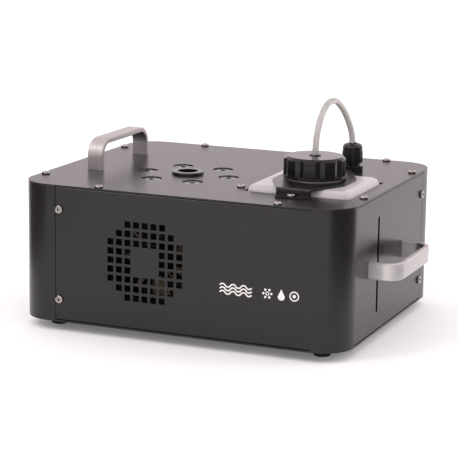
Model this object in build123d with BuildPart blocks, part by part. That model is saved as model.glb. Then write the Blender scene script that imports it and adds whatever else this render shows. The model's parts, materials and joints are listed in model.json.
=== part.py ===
from build123d import *
from math import cos, pi, radians, sin, tan
import os

# Vertical fog machine: a sheet steel case with rounded corners, a fluid tank let into
# the lid, an upward nozzle in a ring of six lights, a front fan grille and two bar handles.
# Millimetres, +Z up, -Y is the front. The origin is on the floor, under the middle of the
# overall box, so the case stands a little to the left of it to balance the side handle.

os.makedirs("parts", exist_ok=True)

# ---------------------------------------------------------------- driving dimensions
# case
BODY_W = 330.0
BODY_D = 272.0
BODY_H = 132.0  # underside of the base plate to the top of the lid
CORNER_R = 32.0
SHEET = 1.2
LID_T = 1.5
BASE_T = 1.5
BEND_IN = 0.8  # inside radius of every bend in the covers
FLANGE = 14.0  # folded edge of the covers, measured from the outer face
SEAM_GAP = 0.6
FRONT_SEAM = 41.4  # from the left side of the case
SIDE_SEAM = 42.5  # from the rear of the case
STRIP_W = 19.0
STRIP_T = 1.2
STRIP_SHIFT = 1.5  # strip centre from the seam, towards the screws

# screws, metric 4
SCREW_R = 2.0
HEAD_R = 4.0
HEAD_H = 2.4
LOW_HEAD_H = 1.0  # under the base plate
HOLE_GAP = 0.1  # radial room round every screw
RECESS_W = 0.9
RECESS_L = 4.4
RECESS_D = 0.55  # share of the head's height
HEAD_ROUND = 0.6  # share of the head's height
LID_SCREW_INSET = 6.5
SEAM_SCREW_INSET = 4.1
SEAM_SCREW_LOW = 22.0  # above the underside of the case
SEAM_SCREW_HIGH = 109.0

# handles
HANDLE_L = 106.0
HANDLE_REACH = 30.0
HANDLE_W = 16.0
HANDLE_T = 5.0
HANDLE_R = 17.0
HANDLE_EDGE = 0.8
HANDLE_SCREW_L = 12.0
TOP_HANDLE_INSET = 39.6  # from the left side
HANDLE_FRONT = 86.0  # near end, from the front of the case
SIDE_HANDLE_FRONT = 66.0
SIDE_HANDLE_Z = 65.0

# feet
FOOT_H = 9.5
FOOT_R = 8.0
FOOT_INSET = 30.0
FOOT_SCREW_SINK = 3.5
FOOT_EDGE = 1.2

# tank, cap and its holder
TANK_W = 103.0
TANK_D = 95.0
TANK_GAP = 1.1  # between the tank and the edge of the lid's opening
TANK_SIDE = 15.5  # tank's side from the right side of the case
TANK_INSET_Y = 101.0  # tank centre from the front
TANK_CORNER_R = 10.0
TANK_CROWN = 6.0  # tank top above the lid
TANK_SHOULDER_R = 8.0
TANK_WALL = 2.0
PAD_T = 4.0
NECK_R = 25.0
NECK_H = 19.0
NECK_WALL = 2.6
THREAD_H = 1.0
THREAD_PITCH = 5.0
CAP_R = 30.0
CAP_H = 20.0
CAP_TOP_T = 2.6
CAP_WALL_R = 26.6
CAP_FLUTES = 9
CAP_FLUTE_START = 20.0
CAP_CHAMFER = 2.6
CAP_LIP_H = 2.6
FLUTE_R = 14.0
FLUTE_D = 1.1
SEAL_T = 2.2
SEAT_GAP = 0.1
BUSH_R = 4.9
BUSH_FLANGE_R = 7.0  # under the seal
BUSH_FLANGE_H = 1.6
BUSH_HEAD_R = 5.5  # on top of the cap
BUSH_HEAD_H = 0.7
BUSH_SLOT_W = 1.0
RUNNING = 0.08  # radial clearance where one piece turns in another
HOLDER_T = 1.5
HOLDER_RISE = 6.6  # underside of the holder above the lid
HOLDER_NARROW = 16.5
HOLDER_WIDE = 35.5
HOLDER_WAIST = 17.0
HOLDER_REACH = 57.0
HOLDER_FOOT = 9.0
HOLDER_FOOT_W = 14.0  # half of the foot's free edge
HOLDER_HOLE_R = 27.6

# tube and gland
TUBE_R = 3.0
TUBE_SLIDE = 0.9
PRESSURE_R = 2.5
FILTER_R = 7.0
FILTER_H = 16.0
GLAND_INSET_X = 62.0  # from the right side
GLAND_INSET_Y = 194.0  # from the front
GLAND_BASE_AF = 19.0
GLAND_BASE_H = 6.0
GLAND_THREAD_R = 7.5
GLAND_THREAD_L = 8.0
GLAND_NECK_H = 3.0
GLAND_NUT_R = 9.7
GLAND_NUT_H = 12.0
GLAND_DOME_H = 7.0
GLAND_DOME_R = 4.2
GLAND_LOCK_H = 4.0
GLAND_MOUTH_R = 4.4

# nozzle and lights
NOZZLE_X = 36.0  # left of the case's middle
NOZZLE_Y = 109.0  # from the front
NOZZLE_R = 15.5
NOZZLE_BORE_R = 10.0
NOZZLE_H = 3.0
NOZZLE_SLEEVE_R = 12.5
NOZZLE_SLEEVE_L = 7.0
PIPE_R = 9.0
PIPE_WALL = 1.5
LIGHT_PCD = 86.0
LIGHT_R = 10.0
LIGHTS = 6
LENS_R = 9.7
LENS_SINK = 1.0  # lens top below the lid's top
LENS_H = 12.0
LENS_FOOT_R = 4.5
HOLDER_CUP_T = 1.0
EMITTER_W = 7.0
EMITTER_H = 2.0
HOLDER_GAP = 0.2
LIGHT_BOARD_R = 57.0
LIGHT_BOARD_HOLE_R = 20.0
LIGHT_BOARD_T = 1.6
SINK_T = 4.0
STUD_R = 1.5
STUD_PCD = 72.0

# front fan and its grille
FAN_SIZE = 80.0
FAN_T = 25.0
FAN_X = 30.6  # left of the case's middle
FAN_Z = 66.0  # above the underside of the case
FAN_BORE_R = FAN_SIZE / 2 - 1.5
FAN_TIP_GAP = 0.9
FAN_HUB_R = 17.0
FAN_BLADES = 7
FAN_HOLE_PITCH = FAN_SIZE - 8.5
FAN_BRACKET_T = 1.2
GRILLE_HOLE = 6.1
GRILLE_PITCH_X = 8.8
GRILLE_PITCH_Z = 8.7
GRILLE_ROWS = [5, 7, 9, 9, 9, 9, 9, 7, 5]
GRILLE_BLANK = 1  # holes left out each way from the middle

# level slot in the right side
SLOT_W = 5.0
SLOT_Y = 94.0
SLOT_LOW = 19.0
SLOT_HIGH = 111.0

# heater
HEATER_W = 64.0
HEATER_L = 120.0
HEATER_H = 48.0
HEATER_FRONT = 52.0
HEATER_Z = 30.0
WOOL_T = 8.0
ROD_R = 5.0
ROD_PITCH = 30.0
ROD_OUT = 14.0
PORT_R = 4.0
PORT_L = 16.0
PORT_DROP = 4.5  # pump's outlet below its foot
INLET_PORT_UP = 12.0  # heater's inlet above its underside
PRESSURE_BACK = 44.0  # furthest reach of the pressure tube behind the heater
STAT_R = 8.0
STAT_H = 7.0

# pump, standing under the gland
PUMP_CORE_R = 8.0
PUMP_BORE_R = 5.6
PUMP_L = 84.0
PUMP_Z = 16.0
COIL_W = 32.0
COIL_L = 36.0
COIL_Z = 34.0
YOKE_T = 2.0
PISTON_R = 5.5
PISTON_L = 26.0
PISTON_STROKE = 3.0
SPRING_R = 4.2
SPRING_WIRE = 0.5
SPRING_L = 15.0
SPRING_TURNS = 6

# brackets and boards inside
BRACKET_T = 1.5
BRACKET_FOOT = 12.0
SHIELD_SCREW_OUT = 9.5  # from the tank's side, away from it
SHIELD_SCREW_FRONT = 33.0  # from the tank's middle, to the front
SHIELD_FOOT_Y = 30.0
FAN_CLEAR = 8.0  # between the front cover and the fan
SADDLE_PITCH = 76.0
SADDLE_L = 20.0
MOUNT_T = 4.0
MOUNT_R = 5.0
BOARD_W = 66.0
BOARD_L = 116.0
BOARD_T = 1.6
BOARD_INSET = 46.0  # board centre from the left side
BOARD_REAR = 104.0  # board centre from the rear
STANDOFF_R = 3.0
STANDOFF_H = 8.0

# rear panel, distances from the case's middle and its underside
INLET_X = 112.0
INLET_Z = 42.0
INLET_W = 27.0
INLET_H = 34.0
SWITCH_X = 72.0
SWITCH_W = 13.0
SWITCH_H = 19.2
XLR_X = (-58.0, -96.0)
XLR_Z = 38.0
XLR_R = 11.8
XLR_FLANGE_W = 26.0
XLR_FLANGE_H = 31.0
DISPLAY_X = -77.0
DISPLAY_Z = 100.0
DISPLAY_W = 52.0
DISPLAY_H = 16.0
BUTTON_Z = 78.0
BUTTON_PITCH = 16.0
BUTTON_R = 4.0
BUTTON_OUT = 2.0
BUTTON_GAP = 0.25

BUTTONS = 4
XLR_SCREW_X = 9.5
XLR_SCREW_Z = 12.0
PANEL_FLANGE_T = 2.0
SOCKET_W = 24.4
SOCKET_H = 16.6
SOCKET_D = 16.0
SOCKET_UP = 6.0
DRAWER_W = 20.0
DRAWER_H = 7.0
DRAWER_D = 18.0
DRAWER_DOWN = 10.5
DRAWER_GAP = 0.3
INLET_BODY_D = 24.0
ROCKER_W = 9.0
ROCKER_L = 13.0
ROCKER_GAP = 0.4
ROCKER_TURN = 14.0
SWITCH_BODY_D = 16.0
XLR_BODY_D = 22.0
XLR_PIN_R = 1.2
XLR_PIN_RING_R = 4.9
LATCH_W = 8.0
LATCH_H = 4.0
LATCH_TRAVEL = 1.5
BUTTON_FLANGE_R = 5.2
BUTTON_TRAVEL = 1.0
VENT_X = 15.0
VENT_Z = 66.0
VENT_ROWS = 7
VENT_PITCH = 7.0
VENT_L = 42.0
VENT_W = 3.0

# ---------------------------------------------------------------- derived places
BODY_X = -HANDLE_REACH / 2
LEFT = BODY_X - BODY_W / 2
RIGHT = BODY_X + BODY_W / 2
FRONT = -BODY_D / 2
REAR = BODY_D / 2
BASE_Z = FOOT_H
FLOOR_Z = BASE_Z + BASE_T
TOP_Z = BASE_Z + BODY_H
LID_Z = TOP_Z - LID_T
WALL_H = LID_Z - FLOOR_Z
WALL_MID = (LID_Z + FLOOR_Z) / 2
BEND_OUT = BEND_IN + SHEET
STRIP_H = WALL_H - 8 * SHEET
HOLE_R = SCREW_R + HOLE_GAP
SEAM_X = LEFT + FRONT_SEAM
SEAM_Y = REAR - SIDE_SEAM
TANK_X = RIGHT - TANK_SIDE - TANK_W / 2
TANK_Y = FRONT + TANK_INSET_Y
NOZ_X = BODY_X - NOZZLE_X
NOZ_Y = FRONT + NOZZLE_Y
HANDLE_X = LEFT + TOP_HANDLE_INSET
FAN_CX = BODY_X - FAN_X
FAN_CZ = BASE_Z + FAN_Z
LEG_INSET = HANDLE_T / 2

TOP_HANDLE_LEGS = [
    (HANDLE_X, FRONT + HANDLE_FRONT + LEG_INSET),
    (HANDLE_X, FRONT + HANDLE_FRONT + HANDLE_L - LEG_INSET),
]
SIDE_HANDLE_LEGS = [
    (FRONT + SIDE_HANDLE_FRONT + LEG_INSET, BASE_Z + SIDE_HANDLE_Z),
    (FRONT + SIDE_HANDLE_FRONT + HANDLE_L - LEG_INSET, BASE_Z + SIDE_HANDLE_Z),
]
FOOT_POINTS = [
    (x, y)
    for x in (LEFT + FOOT_INSET, RIGHT - FOOT_INSET)
    for y in (FRONT + FOOT_INSET, REAR - FOOT_INSET)
]
LID_SCREWS_FRONT = [(BODY_X + x, FRONT + LID_SCREW_INSET) for x in (-81.0, 98.0)]
LID_SCREWS_REAR = [(BODY_X + x, REAR - LID_SCREW_INSET) for x in (-86.0, 115.0)]
LID_SCREWS_LEFT = [(LEFT + LID_SCREW_INSET, y) for y in (FRONT + 47.0, REAR - 51.0)]
LID_SCREWS_RIGHT = [(RIGHT - LID_SCREW_INSET, y) for y in (FRONT + 67.0, REAR - 59.0)]
SHIELD_SCREW = (TANK_X - TANK_W / 2 - SHIELD_SCREW_OUT, TANK_Y - SHIELD_SCREW_FRONT)
LID_SCREW_POINTS = (
    LID_SCREWS_FRONT + LID_SCREWS_REAR + LID_SCREWS_LEFT + LID_SCREWS_RIGHT + [SHIELD_SCREW]
)
BASE_SCREWS_FRONT = [(BODY_X + x, FRONT + LID_SCREW_INSET) for x in (-70.0, 90.0)]
BASE_SCREWS_REAR = [(BODY_X + x, REAR - LID_SCREW_INSET) for x in (-90.0, 90.0)]
BASE_SCREWS_LEFT = [(LEFT + LID_SCREW_INSET, y) for y in (FRONT + 70.0, REAR - 70.0)]
BASE_SCREWS_RIGHT = [(RIGHT - LID_SCREW_INSET, y) for y in (FRONT + 60.0, REAR - 90.0)]
BASE_SCREW_POINTS = (
    BASE_SCREWS_FRONT + BASE_SCREWS_REAR + BASE_SCREWS_LEFT + BASE_SCREWS_RIGHT
)
SEAM_SCREW_HEIGHTS = (BASE_Z + SEAM_SCREW_LOW, BASE_Z + SEAM_SCREW_HIGH)
FRONT_SEAM_SCREWS = [(SEAM_X + SEAM_SCREW_INSET, z) for z in SEAM_SCREW_HEIGHTS]
SIDE_SEAM_SCREWS = [(SEAM_Y - SEAM_SCREW_INSET, z) for z in SEAM_SCREW_HEIGHTS]
HOLDER_SCREWS = [
    (TANK_X, TANK_Y - HOLDER_REACH - HOLDER_FOOT / 2),
    (TANK_X, TANK_Y + HOLDER_REACH + HOLDER_FOOT / 2),
]
STUD_POINTS = [
    (NOZ_X + STUD_PCD / 2 * cos(radians(a)), NOZ_Y + STUD_PCD / 2 * sin(radians(a)))
    for a in (30.0, 90.0, 210.0, 270.0)
]
BUTTON_XS = [
    BODY_X + DISPLAY_X + BUTTON_PITCH * (n - (BUTTONS - 1) / 2) for n in range(BUTTONS)
]
XLR_SCREWS = [
    (BODY_X + x + side * XLR_SCREW_X, BASE_Z + XLR_Z + side * XLR_SCREW_Z)
    for x in XLR_X
    for side in (-1, 1)
]
LENS_TOP = TOP_Z - LENS_SINK
LIGHT_BOARD_TOP = LENS_TOP - LENS_H - 3.0
SINK_TOP = LIGHT_BOARD_TOP - LIGHT_BOARD_T
HEATER_LOW = BASE_Z + HEATER_Z
HEATER_Y = FRONT + HEATER_FRONT + HEATER_L / 2
HEATER_REAR = HEATER_Y + HEATER_L / 2
GLAND_X = RIGHT - GLAND_INSET_X
GLAND_Y = FRONT + GLAND_INSET_Y
PUMP_X = GLAND_X
PUMP_Y = GLAND_Y
PUMP_LOW = BASE_Z + PUMP_Z
PORT_Z = PUMP_LOW - PORT_DROP
INLET_PORT_Z = HEATER_LOW + INLET_PORT_UP
FAN_REAR = FRONT + SHEET + FAN_CLEAR + FAN_T
BOARD_X = LEFT + BOARD_INSET
BOARD_Y = REAR - BOARD_REAR
BOARD_Z = FLOOR_Z + STANDOFF_H
FAN_FOOT = [(FAN_CX + x, FAN_REAR + BRACKET_FOOT / 2 + FAN_BRACKET_T) for x in (-30.0, 30.0)]
SADDLE_REACH = HEATER_W / 2
SADDLE_YS = (HEATER_Y - SADDLE_PITCH / 2, HEATER_Y + SADDLE_PITCH / 2)
SADDLE_FEET = [
    (NOZ_X + side * (SADDLE_REACH + BRACKET_FOOT / 2), y) for side in (-1, 1) for y in SADDLE_YS
]
SHIELD_X = SHIELD_SCREW[0] + LID_SCREW_INSET
SHIELD_FEET = [(SHIELD_X - BRACKET_FOOT / 2, TANK_Y + y) for y in (-SHIELD_FOOT_Y, SHIELD_FOOT_Y)]
PUMP_PLATE_Y = PUMP_Y + COIL_W / 2 + YOKE_T + MOUNT_T
PUMP_FEET = [(PUMP_X + x, PUMP_PLATE_Y + BRACKET_FOOT / 2) for x in (-11.0, 11.0)]
BOARD_POINTS = [
    (BOARD_X + x * (BOARD_W / 2 - 4.0), BOARD_Y + y * (BOARD_L / 2 - 4.0))
    for x in (-1, 1)
    for y in (-1, 1)
]
CHASSIS_POINTS = FAN_FOOT + SADDLE_FEET + SHIELD_FEET + PUMP_FEET + BOARD_POINTS

front_face = Plane.XZ.offset(-FRONT)  # looks out of the front, local x to the right
rear_face = Plane(origin=(0, REAR, 0), x_dir=(1, 0, 0), z_dir=(0, -1, 0))
right_face = Plane.YZ.offset(RIGHT)
lid_top = Plane.XY.offset(TOP_Z)


def save(piece, label):
    """Labels a finished piece and writes it as one STEP file."""
    piece.part.label = label
    export_step(piece.part, f"parts/{label}.step")


def channel(face, inward):
    """Section of a cover wall with a folded edge at top and bottom. face is the outer
    face, inward +1 or -1 the way that the edges point."""
    with Locations((face + inward * FLANGE, WALL_MID)):
        RectangleRounded(2 * FLANGE, WALL_H, BEND_OUT)
    with Locations((face + inward * (SHEET + 2 * FLANGE), WALL_MID)):
        RectangleRounded(4 * FLANGE, WALL_H - 2 * SHEET, BEND_IN, mode=Mode.SUBTRACT)
    with Locations((face + inward * 2 * FLANGE, WALL_MID)):
        Rectangle(2 * FLANGE, 2 * WALL_H, mode=Mode.SUBTRACT)


def corner(x_side, y_side):
    """Plan of one rounded corner. x_side and y_side are -1 or +1."""
    x = BODY_X + x_side * (BODY_W / 2 - CORNER_R)
    y = y_side * (BODY_D / 2 - CORNER_R)
    with Locations((x, y)):
        Circle(CORNER_R)
        Circle(CORNER_R - SHEET, mode=Mode.SUBTRACT)
    with Locations((x + x_side * CORNER_R / 2, y + y_side * CORNER_R / 2)):
        Rectangle(CORNER_R, CORNER_R, mode=Mode.INTERSECT)


def strip_plan(x0, y0, x1, y1):
    """Plan of a plain stretch of wall between two opposite corners."""
    with Locations(((x0 + x1) / 2, (y0 + y1) / 2)):
        Rectangle(abs(x1 - x0), abs(y1 - y0))


def circles(points, radius, mode=Mode.ADD):
    """A round hole or disc at each point of the current sketch."""
    with Locations(*points):
        Circle(radius, mode=mode)


def screws(points, plane, length, head=HEAD_H):
    """Pan head screws at points on a plane, their shanks going in against its normal."""
    template = pan_screw(length, head)
    made = []
    for x, y in points:
        made.append((plane * Pos(x, y, 0)) * template)
    return made


def pan_screw(length, head):
    """One cross recessed pan head screw, standing on Z with its shank below zero."""
    with BuildPart() as screw:
        with BuildSketch(Plane.XZ):
            with Locations((SCREW_R / 2, -length / 2)):
                Rectangle(SCREW_R, length)
            with Locations((HEAD_R / 2, head / 2)):
                Rectangle(HEAD_R, head)
        revolve(axis=Axis.Z)
        rim = screw.edges().filter_by(GeomType.CIRCLE).group_by(Axis.Z)[-1]
        fillet(rim, HEAD_ROUND * head)
        with BuildSketch(Plane.XY.offset(head)):
            Rectangle(RECESS_L, RECESS_W)
            Rectangle(RECESS_W, RECESS_L)
        extrude(amount=-RECESS_D * head, mode=Mode.SUBTRACT)
    return screw.part


def screw_group(groups):
    """One piece that holds several separate screws."""
    with BuildPart() as group:
        for group_of in groups:
            for screw in screws(*group_of):
                add(screw)
    return group


# ---------------------------------------------------------------- case
with BuildPart() as front_cover:
    with BuildSketch(Plane.XY.offset(FLOOR_Z)):
        corner(1, -1)
    extrude(amount=WALL_H)
    with BuildSketch(Plane.YZ.offset(SEAM_X + SEAM_GAP / 2)):
        channel(FRONT, 1)
    extrude(amount=RIGHT - CORNER_R - SEAM_X - SEAM_GAP / 2)
    with BuildSketch(Plane.XZ.offset(-(SEAM_Y - SEAM_GAP / 2))):
        channel(RIGHT, -1)
    extrude(amount=SEAM_Y - SEAM_GAP / 2 - FRONT - CORNER_R)
    with BuildSketch(front_face):
        for row, count in enumerate(GRILLE_ROWS):
            up = row - len(GRILLE_ROWS) // 2
            for column in range(-(count // 2), count // 2 + 1):
                if max(abs(up), abs(column)) > GRILLE_BLANK:
                    with Locations((FAN_CX + column * GRILLE_PITCH_X, FAN_CZ + up * GRILLE_PITCH_Z)):
                        Rectangle(GRILLE_HOLE, GRILLE_HOLE)
        circles(FRONT_SEAM_SCREWS, HOLE_R)
    extrude(amount=SHEET, both=True, mode=Mode.SUBTRACT)
    with BuildSketch(right_face):
        with Locations((FRONT + SLOT_Y, BASE_Z + (SLOT_LOW + SLOT_HIGH) / 2)):
            SlotOverall(SLOT_HIGH - SLOT_LOW, SLOT_W, rotation=90)
        circles(SIDE_SEAM_SCREWS + SIDE_HANDLE_LEGS, HOLE_R)
    extrude(amount=SHEET, both=True, mode=Mode.SUBTRACT)
    with BuildSketch(Plane.XY.offset(LID_Z)):
        circles(LID_SCREWS_FRONT + LID_SCREWS_RIGHT, HOLE_R)
    extrude(amount=-SHEET, mode=Mode.SUBTRACT)
    with BuildSketch(Plane.XY.offset(FLOOR_Z)):
        circles(BASE_SCREWS_FRONT + BASE_SCREWS_RIGHT, HOLE_R)
    extrude(amount=SHEET, mode=Mode.SUBTRACT)
save(front_cover, "front_cover")

with BuildPart() as rear_cover:
    for x_side, y_side in ((-1, -1), (-1, 1), (1, 1)):
        with BuildSketch(Plane.XY.offset(FLOOR_Z)):
            corner(x_side, y_side)
        extrude(amount=WALL_H)
    with BuildSketch(Plane.XY.offset(FLOOR_Z)):
        strip_plan(LEFT + CORNER_R, FRONT, SEAM_X - SEAM_GAP / 2, FRONT + SHEET)
        strip_plan(RIGHT - SHEET, SEAM_Y + SEAM_GAP / 2, RIGHT, REAR - CORNER_R)
    extrude(amount=WALL_H)
    with BuildSketch(Plane.XZ.offset(-(REAR - CORNER_R))):
        channel(LEFT, 1)
    extrude(amount=BODY_D - 2 * CORNER_R)
    with BuildSketch(Plane.YZ.offset(LEFT + CORNER_R)):
        channel(REAR, -1)
    extrude(amount=BODY_W - 2 * CORNER_R)
    with BuildSketch(rear_face):
        with Locations((BODY_X + INLET_X, BASE_Z + INLET_Z)):
            Rectangle(INLET_W + 2 * HOLE_GAP, INLET_H + 2 * HOLE_GAP)
        with Locations((BODY_X + SWITCH_X, BASE_Z + INLET_Z)):
            Rectangle(SWITCH_W + 2 * HOLE_GAP, SWITCH_H + 2 * HOLE_GAP)
        circles([(BODY_X + x, BASE_Z + XLR_Z) for x in XLR_X], XLR_R + HOLE_GAP)
        circles(XLR_SCREWS, HOLE_R)
        with Locations((BODY_X + DISPLAY_X, BASE_Z + DISPLAY_Z)):
            Rectangle(DISPLAY_W, DISPLAY_H)
        circles([(x, BASE_Z + BUTTON_Z) for x in BUTTON_XS], BUTTON_R + BUTTON_GAP)
        for row in range(VENT_ROWS):
            with Locations((BODY_X + VENT_X, BASE_Z + VENT_Z + row * VENT_PITCH)):
                SlotOverall(VENT_L, VENT_W)
    extrude(amount=SHEET, both=True, mode=Mode.SUBTRACT)
    with BuildSketch(Plane.XY.offset(LID_Z)):
        circles(LID_SCREWS_REAR + LID_SCREWS_LEFT, HOLE_R)
    extrude(amount=-SHEET, mode=Mode.SUBTRACT)
    with BuildSketch(Plane.XY.offset(FLOOR_Z)):
        circles(BASE_SCREWS_REAR + BASE_SCREWS_LEFT, HOLE_R)
    extrude(amount=SHEET, mode=Mode.SUBTRACT)
save(rear_cover, "rear_cover")

with BuildPart() as seam_strips:
    with BuildSketch(front_face.offset(-SHEET)):
        with Locations((SEAM_X + STRIP_SHIFT, WALL_MID)):
            Rectangle(STRIP_W, STRIP_H)
        circles(FRONT_SEAM_SCREWS, HOLE_R, Mode.SUBTRACT)
    extrude(amount=-STRIP_T)
    with BuildSketch(right_face.offset(-SHEET)):
        with Locations((SEAM_Y - STRIP_SHIFT, WALL_MID)):
            Rectangle(STRIP_W, STRIP_H)
        circles(SIDE_SEAM_SCREWS, HOLE_R, Mode.SUBTRACT)
    extrude(amount=-STRIP_T)
save(seam_strips, "seam_strips")

with BuildPart() as lid:
    with BuildSketch(Plane.XY.offset(LID_Z)):
        with Locations((BODY_X, 0)):
            RectangleRounded(BODY_W, BODY_D, CORNER_R)
        with Locations((TANK_X, TANK_Y)):
            Rectangle(TANK_W + 2 * TANK_GAP, TANK_D + 2 * TANK_GAP, mode=Mode.SUBTRACT)
        with Locations((NOZ_X, NOZ_Y)):
            Circle(NOZZLE_SLEEVE_R + HOLE_GAP, mode=Mode.SUBTRACT)
            with PolarLocations(LIGHT_PCD / 2, LIGHTS):
                Circle(LIGHT_R, mode=Mode.SUBTRACT)
        with Locations((GLAND_X, GLAND_Y)):
            Circle(GLAND_THREAD_R + HOLE_GAP, mode=Mode.SUBTRACT)
        with Locations(*LID_SCREW_POINTS, *HOLDER_SCREWS, *TOP_HANDLE_LEGS):
            Circle(HOLE_R, mode=Mode.SUBTRACT)
    extrude(amount=LID_T)
save(lid, "lid")

with BuildPart() as base_plate:
    with BuildSketch(Plane.XY.offset(BASE_Z)):
        with Locations((BODY_X, 0)):
            RectangleRounded(BODY_W, BODY_D, CORNER_R)
        with Locations(*FOOT_POINTS, *BASE_SCREW_POINTS, *CHASSIS_POINTS):
            Circle(HOLE_R, mode=Mode.SUBTRACT)
        with Locations((NOZ_X, HEATER_Y)):
            with GridLocations(VENT_L + VENT_PITCH, VENT_PITCH, 2, VENT_ROWS):
                SlotOverall(VENT_L, VENT_W, mode=Mode.SUBTRACT)
    extrude(amount=BASE_T)
save(base_plate, "base_plate")

with BuildPart() as feet:
    with BuildSketch():
        circles(FOOT_POINTS, FOOT_R)
    extrude(amount=FOOT_H)
    fillet(feet.edges().filter_by(GeomType.CIRCLE).group_by(Axis.Z)[0], FOOT_EDGE)
    with BuildSketch():
        circles(FOOT_POINTS, HOLE_R)
    extrude(amount=FOOT_H, mode=Mode.SUBTRACT)
    with BuildSketch():
        circles(FOOT_POINTS, HEAD_R + 5 * HOLE_GAP)
    extrude(amount=FOOT_H - FOOT_SCREW_SINK, mode=Mode.SUBTRACT)
save(feet, "feet")

# ---------------------------------------------------------------- handles
# One bar handle, its legs rising along Z from zero and its bar along Y.
with BuildPart() as bar:
    with BuildSketch(Plane.YZ.offset(-HANDLE_W / 2)):
        RectangleRounded(HANDLE_L, 2 * HANDLE_REACH, HANDLE_R)
        RectangleRounded(
            HANDLE_L - 2 * HANDLE_T,
            2 * (HANDLE_REACH - HANDLE_T),
            HANDLE_R - HANDLE_T,
            mode=Mode.SUBTRACT,
        )
        with Locations((0, -HANDLE_REACH)):
            Rectangle(2 * HANDLE_L, 2 * HANDLE_REACH, mode=Mode.SUBTRACT)
    extrude(amount=HANDLE_W)
    sides = bar.faces().filter_by(Axis.X)
    long_edges = sides.edges().filter_by(lambda edge: edge.center().Z > HOLE_GAP)
    chamfer(long_edges, HANDLE_EDGE)
    with BuildSketch():
        circles([(0, s * (HANDLE_L / 2 - LEG_INSET)) for s in (-1, 1)], HOLE_R)
    extrude(amount=HANDLE_SCREW_L, mode=Mode.SUBTRACT)

with BuildPart() as top_handle:
    with Locations((HANDLE_X, FRONT + HANDLE_FRONT + HANDLE_L / 2, TOP_Z)):
        add(bar.part)
save(top_handle, "top_handle")

side_seat = Plane(
    origin=(RIGHT, FRONT + SIDE_HANDLE_FRONT + HANDLE_L / 2, BASE_Z + SIDE_HANDLE_Z),
    x_dir=(0, 0, -1),
    z_dir=(1, 0, 0),
)
with BuildPart() as side_handle:
    with Locations(side_seat):
        add(bar.part)
save(side_handle, "side_handle")

# ---------------------------------------------------------------- screws of the case
under_lid = Plane(origin=(0, 0, LID_Z), x_dir=(1, 0, 0), z_dir=(0, 0, -1))
under_base = Plane(origin=(0, 0, BASE_Z), x_dir=(1, 0, 0), z_dir=(0, 0, -1))
in_foot = Plane(origin=(0, 0, FOOT_H - FOOT_SCREW_SINK), x_dir=(1, 0, 0), z_dir=(0, 0, -1))
inside_right = Plane(origin=(RIGHT - SHEET, 0, 0), x_dir=(0, 1, 0), z_dir=(-1, 0, 0))


def mirrored(points):
    """The same points on a plane that faces the other way."""
    return [(x, -y) for x, y in points]


panel_out = Plane(
    origin=(0, REAR + PANEL_FLANGE_T, 0), x_dir=(-1, 0, 0), z_dir=(0, 1, 0)
)
holder_top = Plane.XY.offset(TOP_Z + HOLDER_T)
case_screws = screw_group(
    [
        (LID_SCREW_POINTS, lid_top, 8.0),
        (HOLDER_SCREWS, holder_top, 8.0),
        (FRONT_SEAM_SCREWS, front_face, 6.0),
        (SIDE_SEAM_SCREWS, right_face, 6.0),
        ([(-x, z) for x, z in XLR_SCREWS], panel_out, 8.0),
    ]
)
save(case_screws, "case_screws")
base_screws = screw_group(
    [
        (mirrored(BASE_SCREW_POINTS + CHASSIS_POINTS), under_base, 6.0, LOW_HEAD_H),
        (mirrored(FOOT_POINTS), in_foot, 8.0),
    ]
)
save(base_screws, "base_screws")

# ---------------------------------------------------------------- tank and cap
TANK_LOW = FLOOR_Z + PAD_T
TANK_TOP = TOP_Z + TANK_CROWN
NECK_TOP = TANK_TOP + NECK_H

with BuildPart() as tank_pad:
    with BuildSketch(Plane.XY.offset(FLOOR_Z)):
        with Locations((TANK_X, TANK_Y)):
            RectangleRounded(TANK_W - TANK_CORNER_R, TANK_D - TANK_CORNER_R, TANK_CORNER_R)
            Rectangle(TANK_W / 2, TANK_D / 2, mode=Mode.SUBTRACT)
    extrude(amount=PAD_T)
save(tank_pad, "tank_pad")


def tank_form(inset):
    """The blown tank's outside, or its inside when inset is the wall."""
    with BuildPart() as form:
        with BuildSketch(Plane.XY.offset(TANK_LOW + inset)):
            with Locations((TANK_X, TANK_Y)):
                RectangleRounded(
                    TANK_W - 2 * inset, TANK_D - 2 * inset, TANK_CORNER_R - inset
                )
        extrude(amount=TANK_TOP - TANK_LOW - 2 * inset)
        fillet(form.edges().group_by(Axis.Z)[-1], TANK_SHOULDER_R - inset)
        fillet(form.edges().group_by(Axis.Z)[0], TANK_SHOULDER_R / 2)
    return form.part


with BuildPart() as tank:
    add(tank_form(0))
    with BuildSketch(Plane.XY.offset(TANK_TOP - TANK_WALL)):
        circles([(TANK_X, TANK_Y)], NECK_R)
    extrude(amount=NECK_H + TANK_WALL)
    with BuildSketch(Plane.XZ.offset(-TANK_Y)):
        for turn in range(3):
            with Locations((TANK_X + NECK_R, NECK_TOP - THREAD_PITCH * (turn + 0.6))):
                Circle(THREAD_H)
    revolve(axis=Axis((TANK_X, TANK_Y, 0), (0, 0, 1)))
    add(tank_form(TANK_WALL), mode=Mode.SUBTRACT)
    with BuildSketch(Plane.XY.offset(NECK_TOP)):
        circles([(TANK_X, TANK_Y)], NECK_R - NECK_WALL)
    extrude(amount=-(NECK_H + TANK_WALL), mode=Mode.SUBTRACT)
save(tank, "tank")

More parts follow.
